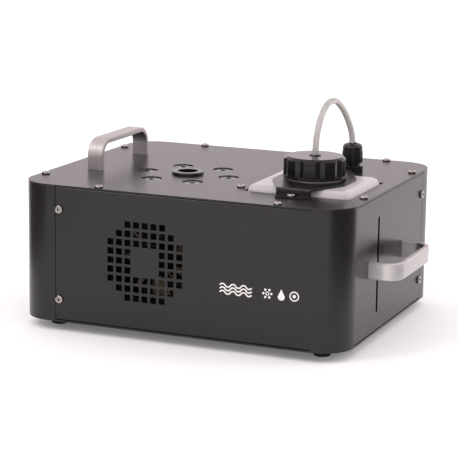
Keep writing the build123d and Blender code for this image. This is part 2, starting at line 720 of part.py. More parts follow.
CAP_LOW = NECK_TOP + 2 * SEAT_GAP + SEAL_T + CAP_TOP_T - CAP_H
CAP_TOP = CAP_LOW + CAP_H
CAP_BODY_R = CAP_R - 1.0
with BuildPart() as tank_cap:
    with BuildSketch(Plane.XY.offset(CAP_LOW)):
        circles([(TANK_X, TANK_Y)], CAP_BODY_R)
    extrude(amount=CAP_H)
    chamfer(tank_cap.edges().group_by(Axis.Z)[-1], length=CAP_CHAMFER, length2=CAP_CHAMFER)
    with BuildSketch(Plane.XY.offset(CAP_LOW)):
        with Locations((TANK_X, TANK_Y)):
            with PolarLocations(CAP_BODY_R + FLUTE_R - FLUTE_D, CAP_FLUTES, CAP_FLUTE_START):
                Circle(FLUTE_R)
    extrude(amount=CAP_H, mode=Mode.SUBTRACT)
    with BuildSketch(Plane.XY.offset(CAP_LOW)):
        circles([(TANK_X, TANK_Y)], CAP_R)
    extrude(amount=CAP_LIP_H)
    with BuildSketch(Plane.XY.offset(CAP_LOW)):
        circles([(TANK_X, TANK_Y)], CAP_WALL_R)
    extrude(amount=CAP_H - CAP_TOP_T, mode=Mode.SUBTRACT)
    with BuildSketch(Plane.XY.offset(CAP_LOW)):
        circles([(TANK_X, TANK_Y)], BUSH_R + RUNNING)
    extrude(amount=CAP_H, mode=Mode.SUBTRACT)
save(tank_cap, "tank_cap")

with BuildPart() as cap_seal:
    with BuildSketch(Plane.XY.offset(NECK_TOP + SEAT_GAP)):
        with Locations((TANK_X, TANK_Y)):
            Circle(CAP_WALL_R - 3 * SEAT_GAP)
            Circle(BUSH_R, mode=Mode.SUBTRACT)
    extrude(amount=SEAL_T)
save(cap_seal, "cap_seal")

with BuildPart() as cap_bushing:
    with BuildSketch(Plane.XY.offset(NECK_TOP + SEAT_GAP - BUSH_FLANGE_H)):
        circles([(TANK_X, TANK_Y)], BUSH_FLANGE_R)
    extrude(amount=BUSH_FLANGE_H)
    with BuildSketch(Plane.XY.offset(NECK_TOP + SEAT_GAP)):
        circles([(TANK_X, TANK_Y)], BUSH_R)
    extrude(amount=CAP_TOP - NECK_TOP)
    with BuildSketch(Plane.XY.offset(CAP_TOP + SEAT_GAP)):
        circles([(TANK_X, TANK_Y)], BUSH_HEAD_R)
    extrude(amount=BUSH_HEAD_H)
    fillet(cap_bushing.edges().group_by(Axis.Z)[-1], BUSH_HEAD_H / 2)
    with BuildSketch(Plane.XY.offset(CAP_TOP + SEAT_GAP)):
        with Locations((TANK_X, TANK_Y)):
            Rectangle(4 * BUSH_R, BUSH_SLOT_W)
            Rectangle(BUSH_SLOT_W, 4 * BUSH_R)
    extrude(amount=BUSH_HEAD_H, mode=Mode.SUBTRACT)
    with BuildSketch(Plane.XY.offset(NECK_TOP - CAP_H)):
        circles([(TANK_X, TANK_Y)], TUBE_R + TUBE_SLIDE)
    extrude(amount=3 * CAP_H, mode=Mode.SUBTRACT)
save(cap_bushing, "cap_bushing")


def hat_outline(reach, foot, rise, thick):
    """Outline of a strip bent into a hat: two feet, two legs and a top, standing on zero."""
    top = rise + thick
    Polyline(
        (-reach - foot, 0),
        (-reach + thick, 0),
        (-reach + thick, rise),
        (reach - thick, rise),
        (reach - thick, 0),
        (reach + foot, 0),
        (reach + foot, thick),
        (reach, thick),
        (reach, top),
        (-reach, top),
        (-reach, thick),
        (-reach - foot, thick),
        close=True,
    )


holder_plane = Plane(origin=(TANK_X - HOLDER_WIDE, TANK_Y, TOP_Z), x_dir=(0, 1, 0), z_dir=(1, 0, 0))
with BuildPart() as tank_holder:
    with BuildSketch(holder_plane):
        with BuildLine():
            hat_outline(HOLDER_REACH, HOLDER_FOOT, HOLDER_RISE, HOLDER_T)
        make_face()
    extrude(amount=2 * HOLDER_WIDE)
    fillet(tank_holder.edges().filter_by(Axis.X).group_by(Axis.Z)[-1], BEND_OUT)
    with BuildSketch(Plane.XY.offset(TOP_Z)):
        with Locations((TANK_X, TANK_Y)):
            far = HOLDER_REACH + HOLDER_FOOT
            Polygon(
                (-HOLDER_FOOT_W, -far),
                (HOLDER_FOOT_W, -far),
                (HOLDER_NARROW, -HOLDER_REACH),
                (HOLDER_WIDE, -HOLDER_WAIST),
                (HOLDER_WIDE, HOLDER_WAIST),
                (HOLDER_NARROW, HOLDER_REACH),
                (HOLDER_FOOT_W, far),
                (-HOLDER_FOOT_W, far),
                (-HOLDER_NARROW, HOLDER_REACH),
                (-HOLDER_WIDE, HOLDER_WAIST),
                (-HOLDER_WIDE, -HOLDER_WAIST),
                (-HOLDER_NARROW, -HOLDER_REACH),
            )
            Circle(HOLDER_HOLE_R, mode=Mode.SUBTRACT)
        with Locations(*HOLDER_SCREWS):
            Circle(HOLE_R, mode=Mode.SUBTRACT)
    extrude(amount=HOLDER_RISE + HOLDER_T, mode=Mode.INTERSECT)
save(tank_holder, "tank_holder")

# ---------------------------------------------------------------- cable gland
gland_at = (GLAND_X, GLAND_Y)
GLAND_NUT_LOW = TOP_Z + GLAND_BASE_H + GLAND_NECK_H
GLAND_TOP = GLAND_NUT_LOW + GLAND_NUT_H + GLAND_DOME_H
GLAND_CORE_R = GLAND_THREAD_R - 1.0
GLAND_BORE_R = GLAND_CORE_R - 1.5
GLAND_CORE_TOP = GLAND_NUT_LOW + GLAND_NUT_H

with BuildPart() as gland_body:
    with BuildSketch(Plane.XY.offset(LID_Z - GLAND_THREAD_L)):
        circles([gland_at], GLAND_THREAD_R)
    extrude(amount=GLAND_THREAD_L + LID_T + GLAND_BASE_H + GLAND_NECK_H)
    with BuildSketch(Plane.XY.offset(TOP_Z)):
        with Locations(gland_at):
            RegularPolygon(GLAND_BASE_AF / 2, 6, major_radius=False)
    extrude(amount=GLAND_BASE_H)
    with BuildSketch(Plane.XY.offset(GLAND_NUT_LOW)):
        circles([gland_at], GLAND_CORE_R)
    extrude(amount=GLAND_NUT_H)
    with BuildSketch(Plane.XY.offset(GLAND_CORE_TOP)):
        circles([gland_at], GLAND_BORE_R)
    extrude(amount=-4 * GLAND_THREAD_L, mode=Mode.SUBTRACT)
    with BuildSketch(Plane.XY.offset(LID_Z)):
        with Locations(gland_at):
            RegularPolygon(GLAND_BASE_AF / 2, 6, major_radius=False)
            Circle(GLAND_THREAD_R + RUNNING, mode=Mode.SUBTRACT)
    extrude(amount=-GLAND_LOCK_H)
save(gland_body, "gland_body")

with BuildPart() as gland_nut:
    with BuildSketch(Plane.XY.offset(GLAND_NUT_LOW)):
        circles([gland_at], GLAND_NUT_R)
    extrude(amount=GLAND_NUT_H + GLAND_DOME_H)
    fillet(gland_nut.edges().group_by(Axis.Z)[-1], GLAND_DOME_R)
    with BuildSketch(Plane.XY.offset(GLAND_NUT_LOW)):
        circles([gland_at], GLAND_CORE_R + RUNNING)
    extrude(amount=GLAND_NUT_H, mode=Mode.SUBTRACT)
    with BuildSketch(Plane.XY.offset(GLAND_CORE_TOP)):
        circles([gland_at], GLAND_MOUTH_R)
    extrude(amount=GLAND_DOME_H, mode=Mode.SUBTRACT)
save(gland_nut, "gland_nut")

with BuildPart() as gland_seal:
    with BuildSketch(Plane.XY.offset(GLAND_CORE_TOP - GLAND_NUT_H)):
        with Locations(gland_at):
            Circle(GLAND_BORE_R)
            Circle(TUBE_R + RUNNING, mode=Mode.SUBTRACT)
    extrude(amount=GLAND_NUT_H)
save(gland_seal, "gland_seal")

# ---------------------------------------------------------------- fluid tubes
# The free loop from the cap to the gland: straight up, over, and down into the gland.
# Each point of the loop: its share of the way from the cap to the gland, and its height
# above the lid.
TUBE_LOOP = [
    (0.0, 20.0),
    (0.0, 36.5),
    (0.045, 53.0),
    (0.15, 68.0),
    (0.325, 77.3),
    (0.53, 75.5),
    (0.73, 64.0),
    (0.91, 47.5),
    (1.0, 31.5),
    (1.0, 17.0),
]
TUBE_ROUTE = [
    (TANK_X + share * (GLAND_X - TANK_X), TANK_Y + share * (GLAND_Y - TANK_Y), TOP_Z + height)
    for share, height in TUBE_LOOP
]
# The pressure tube from the pump's foot to the rear of the heater. Each point of its run:
# its shares of the way to the left, to the rear and up.
PRESSURE_RUN = [
    (0.115, 0.0, 0.0),
    (0.259, 0.0, 0.0),
    (0.41, 0.23, 0.1),
    (0.568, 0.59, 0.3),
    (0.727, 0.86, 0.56),
    (0.888, 1.0, 0.82),
]
PRESSURE_ROUTE = [
    (
        PUMP_X + left * (NOZ_X - PUMP_X),
        PUMP_Y + back * (HEATER_REAR + PRESSURE_BACK - PUMP_Y),
        PORT_Z + up * (INLET_PORT_Z - PORT_Z),
    )
    for left, back, up in PRESSURE_RUN
]
PRESSURE_ROUTE.append((NOZ_X, HEATER_REAR + 2 * PORT_L, INLET_PORT_Z))
PRESSURE_ROUTE.append((NOZ_X, HEATER_REAR + PORT_L, INLET_PORT_Z))


def bend_radii(route):
    """One radius for each corner: 0.45 of the shorter run over the tangent of half the turn."""
    points = [Vector(*point) for point in route]
    runs = [b - a for a, b in zip(points, points[1:])]
    return [
        0.45 * min(a.length, b.length) / tan(radians(a.get_angle(b)) / 2)
        for a, b in zip(runs, runs[1:])
    ]


def tube_along(route, radius):
    """A round tube of straight runs joined by tangent arcs."""
    radii = bend_radii(route)
    with BuildPart() as tube:
        with BuildLine() as line:
            FilletPolyline(*route, radius=radii)
        path = line.wires()[0]
        with BuildSketch(Plane(origin=path @ 0, z_dir=path % 0)):
            Circle(radius)
        sweep(path=path)
    section = pi * radius**2 * path.length
    print("bends", [round(r, 1) for r in radii], "length", round(path.length, 1))
    print("volume over section times length", round(tube.part.volume / section, 4))
    return tube


fluid_tube = tube_along(TUBE_ROUTE, TUBE_R)
save(fluid_tube, "fluid_tube")
FILTER_LOW = TANK_LOW + TANK_WALL + SEAT_GAP
with BuildPart() as pickup_filter:
    with BuildSketch(Plane.XY.offset(FILTER_LOW)):
        circles([(TANK_X, TANK_Y)], FILTER_R)
    extrude(amount=FILTER_H)
    chamfer(pickup_filter.edges().group_by(Axis.Z)[-1], FILTER_R / 3)
save(pickup_filter, "pickup_filter")

# ---------------------------------------------------------------- nozzle and lights
noz = (NOZ_X, NOZ_Y)
with BuildPart() as nozzle_ring:
    with BuildSketch(Plane.XY.offset(TOP_Z)):
        circles([noz], NOZZLE_R)
    extrude(amount=NOZZLE_H)
    fillet(nozzle_ring.edges().group_by(Axis.Z)[-1], NOZZLE_H / 3)
    with BuildSketch(Plane.XY.offset(TOP_Z)):
        circles([noz], NOZZLE_SLEEVE_R)
    extrude(amount=-NOZZLE_SLEEVE_L)
    with BuildSketch(Plane.XY.offset(TOP_Z + NOZZLE_H)):
        circles([noz], NOZZLE_BORE_R)
    extrude(amount=-2 * NOZZLE_SLEEVE_L, mode=Mode.SUBTRACT)
save(nozzle_ring, "nozzle_ring")

HEATER_TOP = HEATER_LOW + HEATER_H
PIPE_SINK = 12.0
with BuildPart() as nozzle_pipe:
    with BuildSketch(Plane.XY.offset(HEATER_TOP - PIPE_SINK)):
        with Locations(noz):
            Circle(PIPE_R)
            Circle(PIPE_R - PIPE_WALL, mode=Mode.SUBTRACT)
    extrude(amount=TOP_Z - NOZZLE_H - HEATER_TOP + PIPE_SINK)
save(nozzle_pipe, "nozzle_pipe")

# One collimator lens, its flat top at zero.
with BuildPart() as lens:
    with BuildSketch(Plane.XZ):
        with BuildLine():
            Polyline((0, 0), (LENS_R, 0), (LENS_R, -2.0))
            ThreePointArc((LENS_R, -2.0), (LENS_R * 0.8, -LENS_H * 0.6), (LENS_FOOT_R, -LENS_H))
            Polyline((LENS_FOOT_R, -LENS_H), (0, -LENS_H), (0, 0))
        make_face()
    revolve(axis=Axis.Z)

# One black cup that holds a lens from below, its foot on the light board.
CUP_H = LENS_H - 1.5
with BuildPart() as cup:
    with BuildSketch(Plane.XY.offset(-LENS_H - 3.0)):
        Circle(LENS_R + HOLDER_CUP_T)
    extrude(amount=CUP_H)
    with BuildSketch(Plane.XY.offset(-LENS_H - 2.0)):
        Circle(LENS_R + HOLDER_GAP)
    extrude(amount=CUP_H, mode=Mode.SUBTRACT)
    with BuildSketch(Plane.XY.offset(-LENS_H - 3.0)):
        Rectangle(EMITTER_W + 1.0, EMITTER_W + 1.0)
    extrude(amount=CUP_H, mode=Mode.SUBTRACT)

with BuildPart() as emitter:
    with BuildSketch(Plane.XY.offset(-LENS_H - 3.0)):
        Rectangle(EMITTER_W, EMITTER_W)
    extrude(amount=EMITTER_H)
    with BuildSketch(Plane.XY.offset(-LENS_H - 3.0 + EMITTER_H)):
        Circle(EMITTER_W * 0.35)
    extrude(amount=EMITTER_H / 4)


def ring_of(template):
    """A copy of the template under each light opening in the lid."""
    with BuildPart() as ring:
        with Locations((NOZ_X, NOZ_Y, LENS_TOP)):
            with PolarLocations(LIGHT_PCD / 2, LIGHTS):
                add(template.part)
    return ring


save(ring_of(lens), "light_lenses")
save(ring_of(cup), "lens_holders")

with BuildPart() as light_board:
    with BuildSketch(Plane.XY.offset(LIGHT_BOARD_TOP)):
        with Locations(noz):
            Circle(LIGHT_BOARD_R)
            Circle(LIGHT_BOARD_HOLE_R, mode=Mode.SUBTRACT)
        with Locations(*STUD_POINTS):
            Circle(STUD_R + HOLE_GAP, mode=Mode.SUBTRACT)
    extrude(amount=-LIGHT_BOARD_T)
    add(ring_of(emitter).part)
save(light_board, "light_board")

with BuildPart() as light_heatsink:
    with BuildSketch(Plane.XY.offset(SINK_TOP)):
        with Locations(noz):
            Circle(LIGHT_BOARD_R)
            Circle(LIGHT_BOARD_HOLE_R, mode=Mode.SUBTRACT)
        with Locations(*STUD_POINTS):
            Circle(STUD_R + HOLE_GAP, mode=Mode.SUBTRACT)
    extrude(amount=-SINK_T)
save(light_heatsink, "light_heatsink")

with BuildPart() as light_studs:
    with BuildSketch(Plane.XY.offset(LID_Z)):
        circles(STUD_POINTS, STUD_R)
    extrude(amount=-(LID_Z - SINK_TOP + SINK_T + 5.0))
    with BuildSketch(Plane.XY.offset(SINK_TOP - SINK_T)):
        with Locations(*STUD_POINTS):
            RegularPolygon(2 * STUD_R - HOLE_GAP, 6, major_radius=False)
    extrude(amount=-2.4)
save(light_studs, "light_studs")

# ---------------------------------------------------------------- fan
# The fan is made on its own axis, Z, with its front face at the top, then set upright.
fan_seat = Plane(
    origin=(FAN_CX, FRONT + SHEET + FAN_CLEAR, FAN_CZ), x_dir=(1, 0, 0), z_dir=(0, -1, 0)
)
FAN_FLANGE_T = 4.0
with BuildPart() as fan_frame_flat:
    with BuildSketch(Plane.XY.offset(-FAN_T)):
        RectangleRounded(FAN_SIZE, FAN_SIZE, 4.0)
    extrude(amount=FAN_T)
    with BuildSketch(Plane.XY.offset(-FAN_T + FAN_FLANGE_T)):
        Rectangle(2 * FAN_SIZE, 2 * FAN_SIZE)
        Circle(FAN_SIZE / 2, mode=Mode.SUBTRACT)
    extrude(amount=FAN_T - 2 * FAN_FLANGE_T, mode=Mode.SUBTRACT)
    with BuildSketch(Plane.XY.offset(-FAN_T)):
        Circle(FAN_BORE_R)
    extrude(amount=FAN_T, mode=Mode.SUBTRACT)
    with BuildSketch(Plane.XY.offset(-FAN_T)):
        Circle(FAN_HUB_R)
        Rectangle(2 * FAN_BORE_R + 1.0, 4.0, rotation=45)
        Rectangle(2 * FAN_BORE_R + 1.0, 4.0, rotation=-45)
    extrude(amount=2.5)
    with BuildSketch(Plane.XY.offset(-FAN_T)):
        with GridLocations(FAN_HOLE_PITCH, FAN_HOLE_PITCH, 2, 2):
            Circle(SCREW_R + HOLE_GAP)
    extrude(amount=FAN_T, mode=Mode.SUBTRACT)
with BuildPart() as fan_frame:
    with Locations(fan_seat):
        add(fan_frame_flat.part)
save(fan_frame, "fan_frame")

BLADE_CHORD = 21.0
BLADE_T = 1.4
with BuildPart() as blade:
    with BuildSketch(Plane.YZ.offset(FAN_HUB_R - 1.5)):
        Rectangle(BLADE_CHORD * 0.7, BLADE_T, rotation=48)
    with BuildSketch(Plane.YZ.offset(FAN_BORE_R)):
        Rectangle(BLADE_CHORD, BLADE_T, rotation=30)
    loft()
with BuildPart() as fan_rotor_flat:
    with BuildSketch(Plane.XY.offset(-FAN_T + 3.0)):
        Circle(FAN_HUB_R)
    extrude(amount=FAN_T - 4.0)
    fillet(fan_rotor_flat.edges().group_by(Axis.Z)[-1], 2.0)
    with Locations((0, 0, -FAN_T / 2 + 1.0)):
        with PolarLocations(0, FAN_BLADES):
            add(blade.part)
    with BuildSketch(Plane.XY.offset(-FAN_T)):
        Circle(FAN_BORE_R - FAN_TIP_GAP)
    extrude(amount=FAN_T, mode=Mode.INTERSECT)
with BuildPart() as fan_rotor:
    with Locations(fan_seat):
        add(fan_rotor_flat.part)
save(fan_rotor, "fan_rotor")

FAN_PLATE_H = FAN_CZ + FAN_SIZE / 2 - FLOOR_Z

# The screws that only the inside shows: of the handles and of the fan.
fan_back = Plane(
    origin=(FAN_CX, FAN_REAR + FAN_BRACKET_T, FAN_CZ), x_dir=(1, 0, 0), z_dir=(0, 1, 0)
)
fan_corners = [
    (x * FAN_HOLE_PITCH / 2, y * FAN_HOLE_PITCH / 2) for x in (-1, 1) for y in (-1, 1)
]
inner_screws = screw_group(
    [
        (mirrored(TOP_HANDLE_LEGS), under_lid, HANDLE_SCREW_L),
        (mirrored(SIDE_HANDLE_LEGS), inside_right, HANDLE_SCREW_L),
        (fan_corners, fan_back, FAN_T),
    ]
)
save(inner_screws, "inner_screws")

# ---------------------------------------------------------------- heater
heater_box = (NOZ_X, HEATER_Y)
ROD_Z = HEATER_LOW + HEATER_H * 0.55
ROD_XS = (NOZ_X - ROD_PITCH / 2, NOZ_X + ROD_PITCH / 2)
STAT_YS = (HEATER_Y - 26.0, HEATER_Y + 26.0)
STAT_Z = HEATER_LOW + HEATER_H / 2
heater_rear = Plane.XZ.offset(-HEATER_REAR)
with BuildPart() as heater_block:
    with BuildSketch(Plane.XY.offset(HEATER_LOW)):
        with Locations(heater_box):
            RectangleRounded(HEATER_W, HEATER_L, 3.0)
    extrude(amount=HEATER_H)
    with BuildSketch(Plane.XY.offset(HEATER_TOP)):
        circles([noz], PIPE_R + RUNNING)
    extrude(amount=-PIPE_SINK, mode=Mode.SUBTRACT)
    with BuildSketch(heater_rear):
        circles([(x, ROD_Z) for x in ROD_XS], ROD_R + RUNNING)
    extrude(amount=HEATER_L - 10.0, mode=Mode.SUBTRACT)
save(heater_block, "heater_block")

with BuildPart() as heater_wool:
    with BuildSketch(Plane.XY.offset(HEATER_LOW - WOOL_T)):
        with Locations(heater_box):
            RectangleRounded(HEATER_W + 2 * WOOL_T, HEATER_L + 2 * WOOL_T, WOOL_T)
    extrude(amount=HEATER_H + 2 * WOOL_T)
    with BuildSketch(Plane.XY.offset(HEATER_LOW)):
        with Locations(heater_box):
            RectangleRounded(HEATER_W, HEATER_L, 3.0)
    extrude(amount=HEATER_H, mode=Mode.SUBTRACT)
    with BuildSketch(Plane.XY.offset(HEATER_TOP)):
        circles([noz], PIPE_R + 1.0)
    extrude(amount=WOOL_T, mode=Mode.SUBTRACT)
    with BuildSketch(heater_rear):
        circles([(x, ROD_Z) for x in ROD_XS], ROD_R + 1.0)
        circles([(NOZ_X, INLET_PORT_Z)], PORT_R + 1.0)
    extrude(amount=-WOOL_T, mode=Mode.SUBTRACT)
    with BuildSketch(Plane.YZ.offset(NOZ_X - HEATER_W / 2)):
        circles([(y, STAT_Z) for y in STAT_YS], STAT_R + 1.0)
    extrude(amount=-WOOL_T, mode=Mode.SUBTRACT)
save(heater_wool, "heater_wool")

with BuildPart() as heating_rods:
    with BuildSketch(Plane.XZ.offset(-(HEATER_REAR + ROD_OUT))):
        circles([(x, ROD_Z) for x in ROD_XS], ROD_R)
    extrude(amount=HEATER_L - 12.0 + ROD_OUT)
    with BuildSketch(Plane.XZ.offset(-(HEATER_REAR + ROD_OUT))):
        circles([(x, ROD_Z) for x in ROD_XS], ROD_R / 2)
    extrude(amount=-6.0)
save(heating_rods, "heating_rods")

# Two snap discs on the left side of the heater: the thermostat and the thermal cut-out.
stat_face = Plane(origin=(NOZ_X - HEATER_W / 2, 0, STAT_Z), x_dir=(0, 1, 0), z_dir=(-1, 0, 0))
with BuildPart() as thermostats:
    with BuildSketch(stat_face):
        circles([(y, 0) for y in STAT_YS], STAT_R)
    extrude(amount=STAT_H)
    with BuildSketch(stat_face.offset(STAT_H)):
        with Locations(*[(y, 0) for y in STAT_YS]):
            with GridLocations(STAT_R, 0, 2, 1):
                Rectangle(0.8, 6.3)
    extrude(amount=STAT_H)
save(thermostats, "thermostats")

SHIELD_L = TANK_D + 10.0
with BuildPart() as heat_shield:
    with BuildSketch(Plane.YZ.offset(SHIELD_X)):
        with Locations((TANK_Y, (FLOOR_Z + LID_Z) / 2)):
            Rectangle(SHIELD_L, WALL_H)
    extrude(amount=-SHEET)
    with BuildSketch(Plane.XY.offset(FLOOR_Z)):
        with Locations((SHIELD_X - BRACKET_FOOT / 2, TANK_Y)):
            Rectangle(BRACKET_FOOT, SHIELD_L)
        with Locations(*SHIELD_FEET):
            Circle(HOLE_R, mode=Mode.SUBTRACT)
    extrude(amount=SHEET)
    with BuildSketch(Plane.XY.offset(LID_Z)):
        with Locations((SHIELD_X - BRACKET_FOOT / 2, SHIELD_SCREW[1])):
            Rectangle(BRACKET_FOOT, 2 * BRACKET_FOOT)
        with Locations(SHIELD_SCREW):
            Circle(HOLE_R, mode=Mode.SUBTRACT)
    extrude(amount=-SHEET)
save(heat_shield, "heat_shield")

# ---------------------------------------------------------------- pump
pump_at = (PUMP_X, PUMP_Y)
PUMP_TOP = PUMP_LOW + PUMP_L
COIL_LOW = PUMP_LOW + COIL_Z - YOKE_T
SPRING_LOW = PUMP_LOW + 16.0
PISTON_LOW = SPRING_LOW + SPRING_L + SEAT_GAP
with BuildPart() as pump_barrel:
    with BuildSketch(Plane.XY.offset(PUMP_LOW)):
        circles([pump_at], PUMP_CORE_R)
    extrude(amount=PUMP_L)
    with BuildSketch(Plane.XY.offset(SPRING_LOW)):
        circles([pump_at], PUMP_BORE_R)
    extrude(amount=PISTON_L + SPRING_L + PUMP_CORE_R, mode=Mode.SUBTRACT)
    with BuildSketch(Plane.XY.offset(PUMP_LOW)):
        circles([pump_at], TUBE_R / 2)
    extrude(amount=PUMP_L, mode=Mode.SUBTRACT)
save(pump_barrel, "pump_barrel")

with BuildPart() as pump_piston:
    with BuildSketch(Plane.XY.offset(PISTON_LOW)):
        with Locations(pump_at):
            Circle(PISTON_R)
            Circle(TUBE_R / 2, mode=Mode.SUBTRACT)
    extrude(amount=PISTON_L)
save(pump_piston, "pump_piston")

with BuildPart() as pump_spring:
    with BuildLine() as coil_line:
        Helix(
            (SPRING_L - 2 * SPRING_WIRE) / SPRING_TURNS,
            SPRING_L - 2 * SPRING_WIRE,
            SPRING_R,
            center=(PUMP_X, PUMP_Y, SPRING_LOW + SPRING_WIRE),
        )
    coil_path = coil_line.wires()[0]
    with BuildSketch(Plane(origin=coil_path @ 0, z_dir=coil_path % 0)):
        Circle(SPRING_WIRE)
    sweep(path=coil_path)
save(pump_spring, "pump_spring")

with BuildPart() as pump_coil:
    with BuildSketch(Plane.XY.offset(COIL_LOW + YOKE_T)):
        with Locations(pump_at):
            RectangleRounded(COIL_W, COIL_W, 4.0)
            Circle(PUMP_CORE_R + HOLE_GAP, mode=Mode.SUBTRACT)
    extrude(amount=COIL_L)
save(pump_coil, "pump_coil")

with BuildPart() as pump_yoke:
    for z in (COIL_LOW, COIL_LOW + YOKE_T + COIL_L):
        with BuildSketch(Plane.XY.offset(z)):
            with Locations((PUMP_X, PUMP_Y + YOKE_T / 2)):
                Rectangle(COIL_W, COIL_W + YOKE_T)
            with Locations(pump_at):
                Circle(PUMP_CORE_R + HOLE_GAP, mode=Mode.SUBTRACT)
        extrude(amount=YOKE_T)
    with BuildSketch(Plane.XY.offset(COIL_LOW)):
        with Locations((PUMP_X, PUMP_Y + COIL_W / 2 + YOKE_T / 2)):
            Rectangle(COIL_W, YOKE_T)
    extrude(amount=COIL_L + 2 * YOKE_T)
save(pump_yoke, "pump_yoke")

with BuildPart() as pump_mounts:
    with BuildSketch(Plane.XZ.offset(-(PUMP_PLATE_Y - MOUNT_T))):
        circles([(PUMP_X, COIL_LOW + YOKE_T + z) for z in (9.0, 27.0)], MOUNT_R)
    extrude(amount=-MOUNT_T)
save(pump_mounts, "pump_mounts")

# Brass ports: the pump's inlet on top, its outlet elbow below, and the heater's inlet.
with BuildPart() as tube_ports:
    with BuildSketch(Plane.XY.offset(PUMP_TOP)):
        with Locations(pump_at):
            RegularPolygon(PUMP_CORE_R, 6, major_radius=False)
            Circle(TUBE_R / 2, mode=Mode.SUBTRACT)
    extrude(amount=PUMP_CORE_R)
    with BuildSketch(Plane.XY.offset(2 * PORT_Z - PUMP_LOW)):
        with Locations(pump_at):
            RectangleRounded(2 * PUMP_CORE_R, 2 * PUMP_CORE_R, 2.0)
    extrude(amount=2 * (PUMP_LOW - PORT_Z))
    with BuildSketch(Plane.YZ.offset(PUMP_X)):
        circles([(PUMP_Y, PORT_Z)], PORT_R)
    extrude(amount=PRESSURE_ROUTE[0][0] - PUMP_X)
    with BuildSketch(heater_rear):
        circles([(NOZ_X, INLET_PORT_Z)], PORT_R)
    extrude(amount=-PORT_L)
save(tube_ports, "tube_ports")

# The rest of the tubing: in the tank, from the gland to the pump, and on to the heater.
with BuildPart() as inner_tubes:
    with BuildSketch(Plane.XY.offset(PUMP_TOP + PUMP_CORE_R)):
        circles([pump_at], TUBE_R)
    extrude(amount=TUBE_ROUTE[-1][2] - PUMP_TOP - PUMP_CORE_R)
    with BuildSketch(Plane.XY.offset(FILTER_LOW + FILTER_H)):
        circles([(TANK_X, TANK_Y)], TUBE_R)
    extrude(amount=TUBE_ROUTE[0][2] - FILTER_LOW - FILTER_H)
    add(tube_along(PRESSURE_ROUTE, PRESSURE_R).part)
save(inner_tubes, "inner_tubes")

# ---------------------------------------------------------------- brackets
# Bent sheet carriers of the fan, the heater and the pump, all screwed to the base plate.
with BuildPart() as inner_brackets:
    with BuildSketch(Plane.XZ.offset(-FAN_REAR)):
        with Locations((FAN_CX, FLOOR_Z + FAN_PLATE_H / 2)):
            Rectangle(FAN_SIZE, FAN_PLATE_H)
        with Locations((FAN_CX, FAN_CZ)):
            Circle(FAN_BORE_R, mode=Mode.SUBTRACT)
            with GridLocations(FAN_HOLE_PITCH, FAN_HOLE_PITCH, 2, 2):
                Circle(HOLE_R, mode=Mode.SUBTRACT)
    extrude(amount=-FAN_BRACKET_T)
    with BuildSketch(Plane.XY.offset(FLOOR_Z)):
        with Locations((FAN_CX, FAN_REAR + (BRACKET_FOOT + FAN_BRACKET_T) / 2)):
            Rectangle(FAN_SIZE, BRACKET_FOOT + FAN_BRACKET_T)
        with Locations(*FAN_FOOT):
            Circle(HOLE_R, mode=Mode.SUBTRACT)
    extrude(amount=FAN_BRACKET_T)
    for y in SADDLE_YS:
        saddle_plane = Plane(origin=(NOZ_X, y + SADDLE_L / 2, FLOOR_Z), x_dir=(1, 0, 0), z_dir=(0, -1, 0))
        with BuildSketch(saddle_plane):
            with BuildLine():
                hat_outline(
                    SADDLE_REACH,
                    BRACKET_FOOT,
                    HEATER_LOW - WOOL_T - FLOOR_Z - BRACKET_T,
                    BRACKET_T,
                )
            make_face()
        extrude(amount=SADDLE_L)
    with BuildSketch(Plane.XY.offset(FLOOR_Z)):
        circles(SADDLE_FEET, HOLE_R)
    extrude(amount=BRACKET_T, mode=Mode.SUBTRACT)
    with BuildSketch(Plane.XZ.offset(-PUMP_PLATE_Y)):
        with Locations((PUMP_X, (FLOOR_Z + COIL_LOW + COIL_L) / 2)):
            Rectangle(COIL_W, COIL_LOW + COIL_L - FLOOR_Z)
    extrude(amount=-BRACKET_T)
    with BuildSketch(Plane.XY.offset(FLOOR_Z)):
        with Locations((PUMP_X, PUMP_PLATE_Y + BRACKET_FOOT / 2)):
            Rectangle(COIL_W, BRACKET_FOOT)
        with Locations(*PUMP_FEET):
            Circle(HOLE_R, mode=Mode.SUBTRACT)
    extrude(amount=BRACKET_T)
save(inner_brackets, "inner_brackets")

